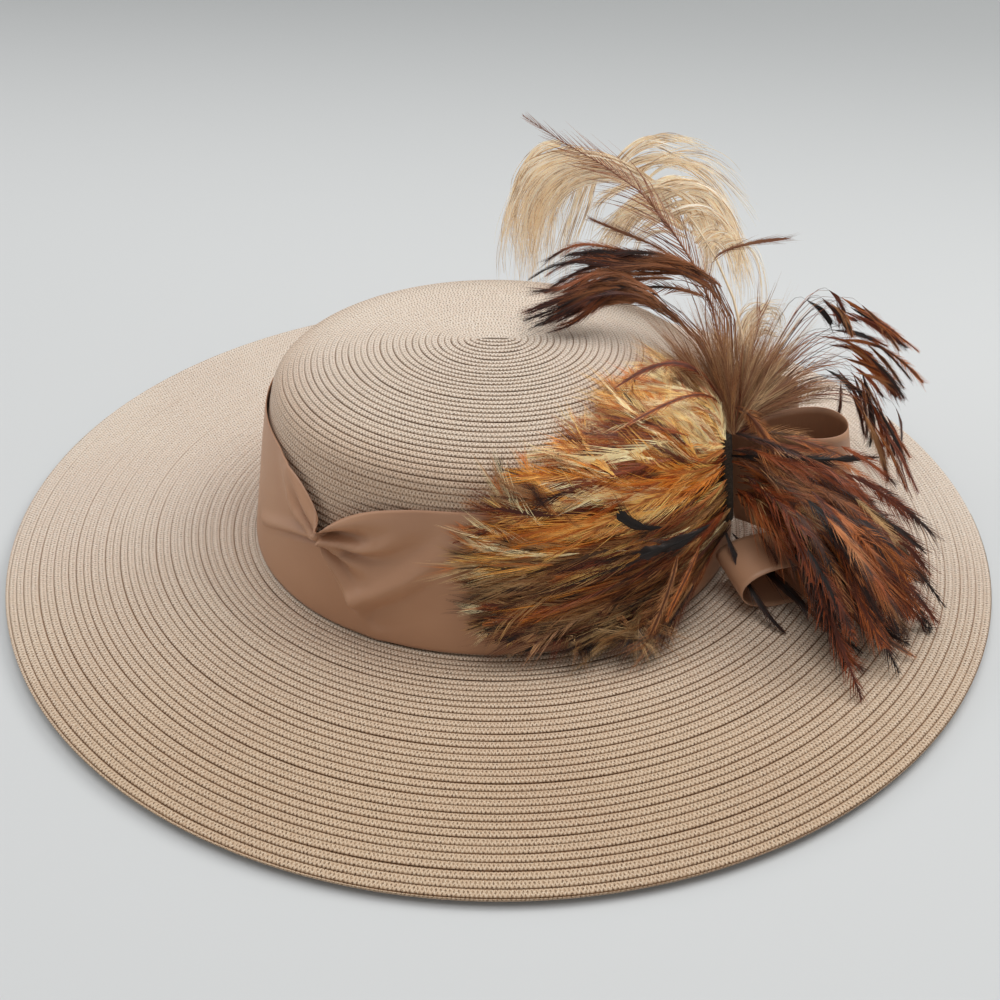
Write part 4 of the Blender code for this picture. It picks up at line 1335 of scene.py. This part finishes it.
STRANDS_IN_LOCK = 13
PLUME_CEILING = 144.0
PLUME_BACK = (0.0, 11.0, -4.5)
PLUME_SPINE = ((92, -4, 72), (91, 20, 86), (79, 45, 106), (60, 70, 120), (40, 82, 126),
               (24, 88, 127))
PLUME_FAMILIES = (
    # locks, spread in mm, curl, then each edge of the family from root to tip in mm
    (22, 1.8, 0.15,
     ((62, 60, 122), (36, 72, 141), (-8, 82, 136), (6, 84, 58)),
     ((70, 50, 114), (48, 68, 126), (14, 80, 122), (20, 80, 58))),
    (12, 1.6, 0.6,
     ((42, 72, 128), (16, 80, 130), (-4, 84, 104), (20, 83, 84)),
     ((36, 73, 126), (14, 80, 118), (4, 84, 90), (28, 82, 100))),
    (16, 1.8, 0.5,
     ((30, 74, 128), (4, 82, 128), (-4, 84, 100), (10, 80, 50)),
     ((40, 72, 124), (20, 80, 122), (14, 82, 92), (18, 78, 48))),
    (24, 2.4, 0.35,
     ((24, 78, 131), (8, 84, 130), (0, 86, 100), (6, 82, 54)),
     ((42, 74, 126), (34, 78, 114), (30, 78, 88), (28, 74, 62))),
    (24, 3.0, 0.4,
     ((62, 60, 120), (50, 70, 122), (40, 76, 106), (32, 72, 74)),
     ((74, 44, 106), (60, 60, 110), (54, 66, 98), (48, 64, 78))),
    (24, 2.8, 0.2,
     ((50, 66, 127), (74, 62, 142), (100, 48, 118), (94, 32, 90)),
     ((82, 30, 104), (88, 34, 114), (98, 30, 102), (96, 14, 78))),
    (18, 3.0, 0.35,
     ((62, 60, 122), (74, 60, 128), (86, 52, 114), (80, 44, 88)),
     ((76, 42, 110), (82, 44, 114), (88, 38, 102), (82, 30, 82))),
    (9, 3.2, 0.3,
     ((36, 72, 130), (48, 74, 142), (66, 68, 142), (84, 58, 132)),
     ((58, 62, 122), (70, 64, 137), (84, 56, 132), (100, 46, 118))),
    (8, 2.2, 0.45,
     ((88, 6, 80), (86, 14, 100), (96, 16, 104), (106, 12, 84)),
     ((94, 2, 76), (98, 8, 92), (110, 8, 92), (114, 4, 76))),
)


def make_plume(patterns, cream):
    """Cream plume: a curved spine with long soft strands that arch and curl."""
    plume = Plumage(61)
    rng = np.random.default_rng(9)
    spine = through(PLUME_SPINE, 24) * MM
    plume.shaft(patterns["slim"], Frames(spine, (0.2, -1.0, 0.3)), 0.7, (0.2, 0.2))
    for count, spread, curl, near, far in PLUME_FAMILIES:
        near = np.array(near) + PLUME_BACK
        far = np.array(far) + PLUME_BACK
        for lock in range(count):
            across = rng.uniform(0.0, 1.0)
            ends = near + (far - near) * across
            away = rng.normal(0.0, spread, 3)
            reach = rng.uniform(0.7, 1.0)
            turn = rng.uniform(0, 6.3)
            for step in range(STRANDS_IN_LOCK):
                own = away + rng.normal(0.0, 1.0, 3)
                path = curve(ends[0] + own * 0.3, ends[1] + own * 0.8, ends[2] + own * 1.1,
                             ends[3] + own * 1.4 + rng.normal(0.0, 1.6, 3), 16)
                path = part_of(path, 0.0, reach * rng.uniform(0.8, 1.0))
                share = np.linspace(0.0, 1.0, len(path))[:, None]
                size = curl * 8.0 * share ** 2
                path = path + size * np.sin(share * 7.0 + turn) * (0.8, 0.1, 0.2)
                path = path + size * np.cos(share * 7.0 + turn) * (0.1, 0.1, 0.8)
                path[:, 2] = np.minimum(path[:, 2], PLUME_CEILING)
                plume.strand(path * MM, rng.uniform(0.2, 0.5) * MM, random_tone(rng),
                             unit(rng.normal(0, 1, 3) + (0, -1.5, 0)))
    plume.make("plume_cream", cream, "cream_plume", "ostrich_plume")


def make_stage():
    """Floor and backdrop, with painted shade towards the back and right, and soft light."""
    deselect()
    bpy.ops.mesh.primitive_plane_add(size=FLOOR_SIZE, location=(0, 0, 0))
    floor = bpy.context.object
    floor.name = "stage_floor"
    editing(floor)
    pick_vertices(floor, lambda co: co.y > FLOOR_SIZE * 0.49)
    bpy.ops.mesh.extrude_region_move(
        TRANSFORM_OT_translate={"value": (0.0, 0.0, BACKDROP_HEIGHT)})
    bpy.ops.object.mode_set(mode="OBJECT")
    paper = Finish("stage_paper", Roughness=0.9)
    # painted shade: the paper darker towards the back and the right, where less light falls
    painted_backdrop_shade = paper.step(paper.place_along(1) + paper.place_along(0) * 0.35, 0.15, 0.9)
    paper.feed("Base Color", paper.blend(painted_backdrop_shade, (0.68, 0.71, 0.73), (0.46, 0.485, 0.50)))
    floor.data.materials.append(paper.material)
    world = bpy.context.scene.world or bpy.data.worlds.new("studio")
    bpy.context.scene.world = world
    world.use_nodes = True
    background = world.node_tree.nodes["Background"]
    background.inputs["Color"].default_value = ROOM_COLOUR
    background.inputs["Strength"].default_value = ROOM_LIGHT
    for name, place, aim, power, size, colour in LAMPS:
        light = bpy.data.lights.new(name, "AREA")
        light.energy = power
        light.size = size
        light.color = colour
        lamp = bpy.data.objects.new(name, light)
        bpy.context.scene.collection.objects.link(lamp)
        lamp.location = place
        lamp.rotation_euler = (Vector(aim) - Vector(place)).to_track_quat("-Z", "Y").to_euler()


def make_camera():
    """Camera at the photo's place and angle."""
    data = bpy.data.cameras.new("camera")
    data.lens = LENS
    data.sensor_width = SENSOR_WIDTH
    data.clip_start = 0.01
    camera = bpy.data.objects.new("camera", data)
    bpy.context.scene.collection.objects.link(camera)
    camera.location = CAMERA_PLACE
    camera.rotation_mode = "XYZ"
    camera.rotation_euler = (math.radians(90.0 - CAMERA_PITCH), math.radians(CAMERA_ROLL), 0.0)
    bpy.context.scene.camera = camera


FEATHER_FINISHES = {
    # the glow entries are painted light: emission in the vane's own colour that stands in for light
    # shining through it
    # material: tones from dark to light, colour of the dark tips, then what else it has
    "hackle_gold": (
        ((0.0, (0.60, 0.14, 0.015)), (0.3, (0.86, 0.32, 0.035)), (0.65, (1.0, 0.64, 0.20)),
         (1.0, (1.0, 0.86, 0.52))),
        (0.46, 0.12, 0.02), {"core": (0.46, 0.12, 0.03), "painted_glow": 0.11}),
    "hackle_tan": (
        ((0.0, (0.19, 0.05, 0.018)), (0.3, (0.35, 0.125, 0.042)), (0.6, (0.50, 0.24, 0.085)),
         (1.0, (0.62, 0.39, 0.18))),
        (0.02, 0.010, 0.007), {"bars": 0.6, "core": (0.03, 0.015, 0.008)}),
    "hackle_rust": (
        ((0.0, (0.16, 0.030, 0.010)), (0.4, (0.36, 0.080, 0.018)), (0.75, (0.54, 0.17, 0.04)),
         (1.0, (0.50, 0.26, 0.12))),
        (0.02, 0.008, 0.006), {"core": (0.07, 0.015, 0.008)}),
    "hackle_dark": (
        ((0.0, (0.014, 0.010, 0.009)), (0.5, (0.040, 0.016, 0.010)), (1.0, (0.14, 0.04, 0.018))),
        (0.010, 0.006, 0.005), {"core": (0.008, 0.006, 0.006)}),
    "hackle_sweep": (
        ((0.0, (0.030, 0.010, 0.008)), (0.5, (0.10, 0.022, 0.010)), (1.0, (0.36, 0.10, 0.03))),
        (0.015, 0.008, 0.006), {"roots": (0.30, 0.11, 0.04), "core": (0.014, 0.007, 0.006)}),
    "hackle_stem": (
        ((0.0, (0.20, 0.06, 0.03)), (0.4, (0.50, 0.27, 0.13)), (0.75, (0.70, 0.48, 0.28)),
         (1.0, (0.34, 0.13, 0.06))),
        (0.26, 0.10, 0.05), {"core": (0.24, 0.10, 0.05)}),
    "plume_strand": (
        ((0.0, (0.70, 0.48, 0.27)), (0.3, (0.90, 0.76, 0.56)), (1.0, (0.98, 0.93, 0.82))),
        (0.92, 0.76, 0.54), {"painted_glow": 0.16, "grain": 5.0}),
}


def some_of(finishes, *names):
    """Hackle finishes by their short names; plumage_groups gives seeds in this order."""
    return {name: finishes["hackle_" + name] for name in names}


def build():
    """Dress the hat."""
    bpy.context.scene.view_settings.view_transform = "Standard"
    make_camera()
    make_stage()
    make_straw(straw_finish())
    satin = satin_finish()
    make_band(satin)
    make_bow(satin)
    make_binding(tape_finish())
    patterns = {"hackle": Pattern(32, 2), "fine": Pattern(52, 2), "slim": Pattern(14, 2),
                "long": Pattern(74, 5, 0.26)}
    finishes = {name: feather_finish(name, tones, tips, **rest)
                for name, (tones, tips, rest) in FEATHER_FINISHES.items()}
    make_left_pad(patterns, some_of(finishes, "gold", "tan", "rust", "dark"))
    make_right_pad(patterns, some_of(finishes, "tan", "rust", "dark"))
    make_sweep(patterns, finishes["hackle_sweep"])
    make_sprays(patterns, some_of(finishes, "stem", "rust", "dark"))
    make_quill(patterns, finishes["hackle_stem"])
    make_plume(patterns, finishes["plume_strand"])


build()
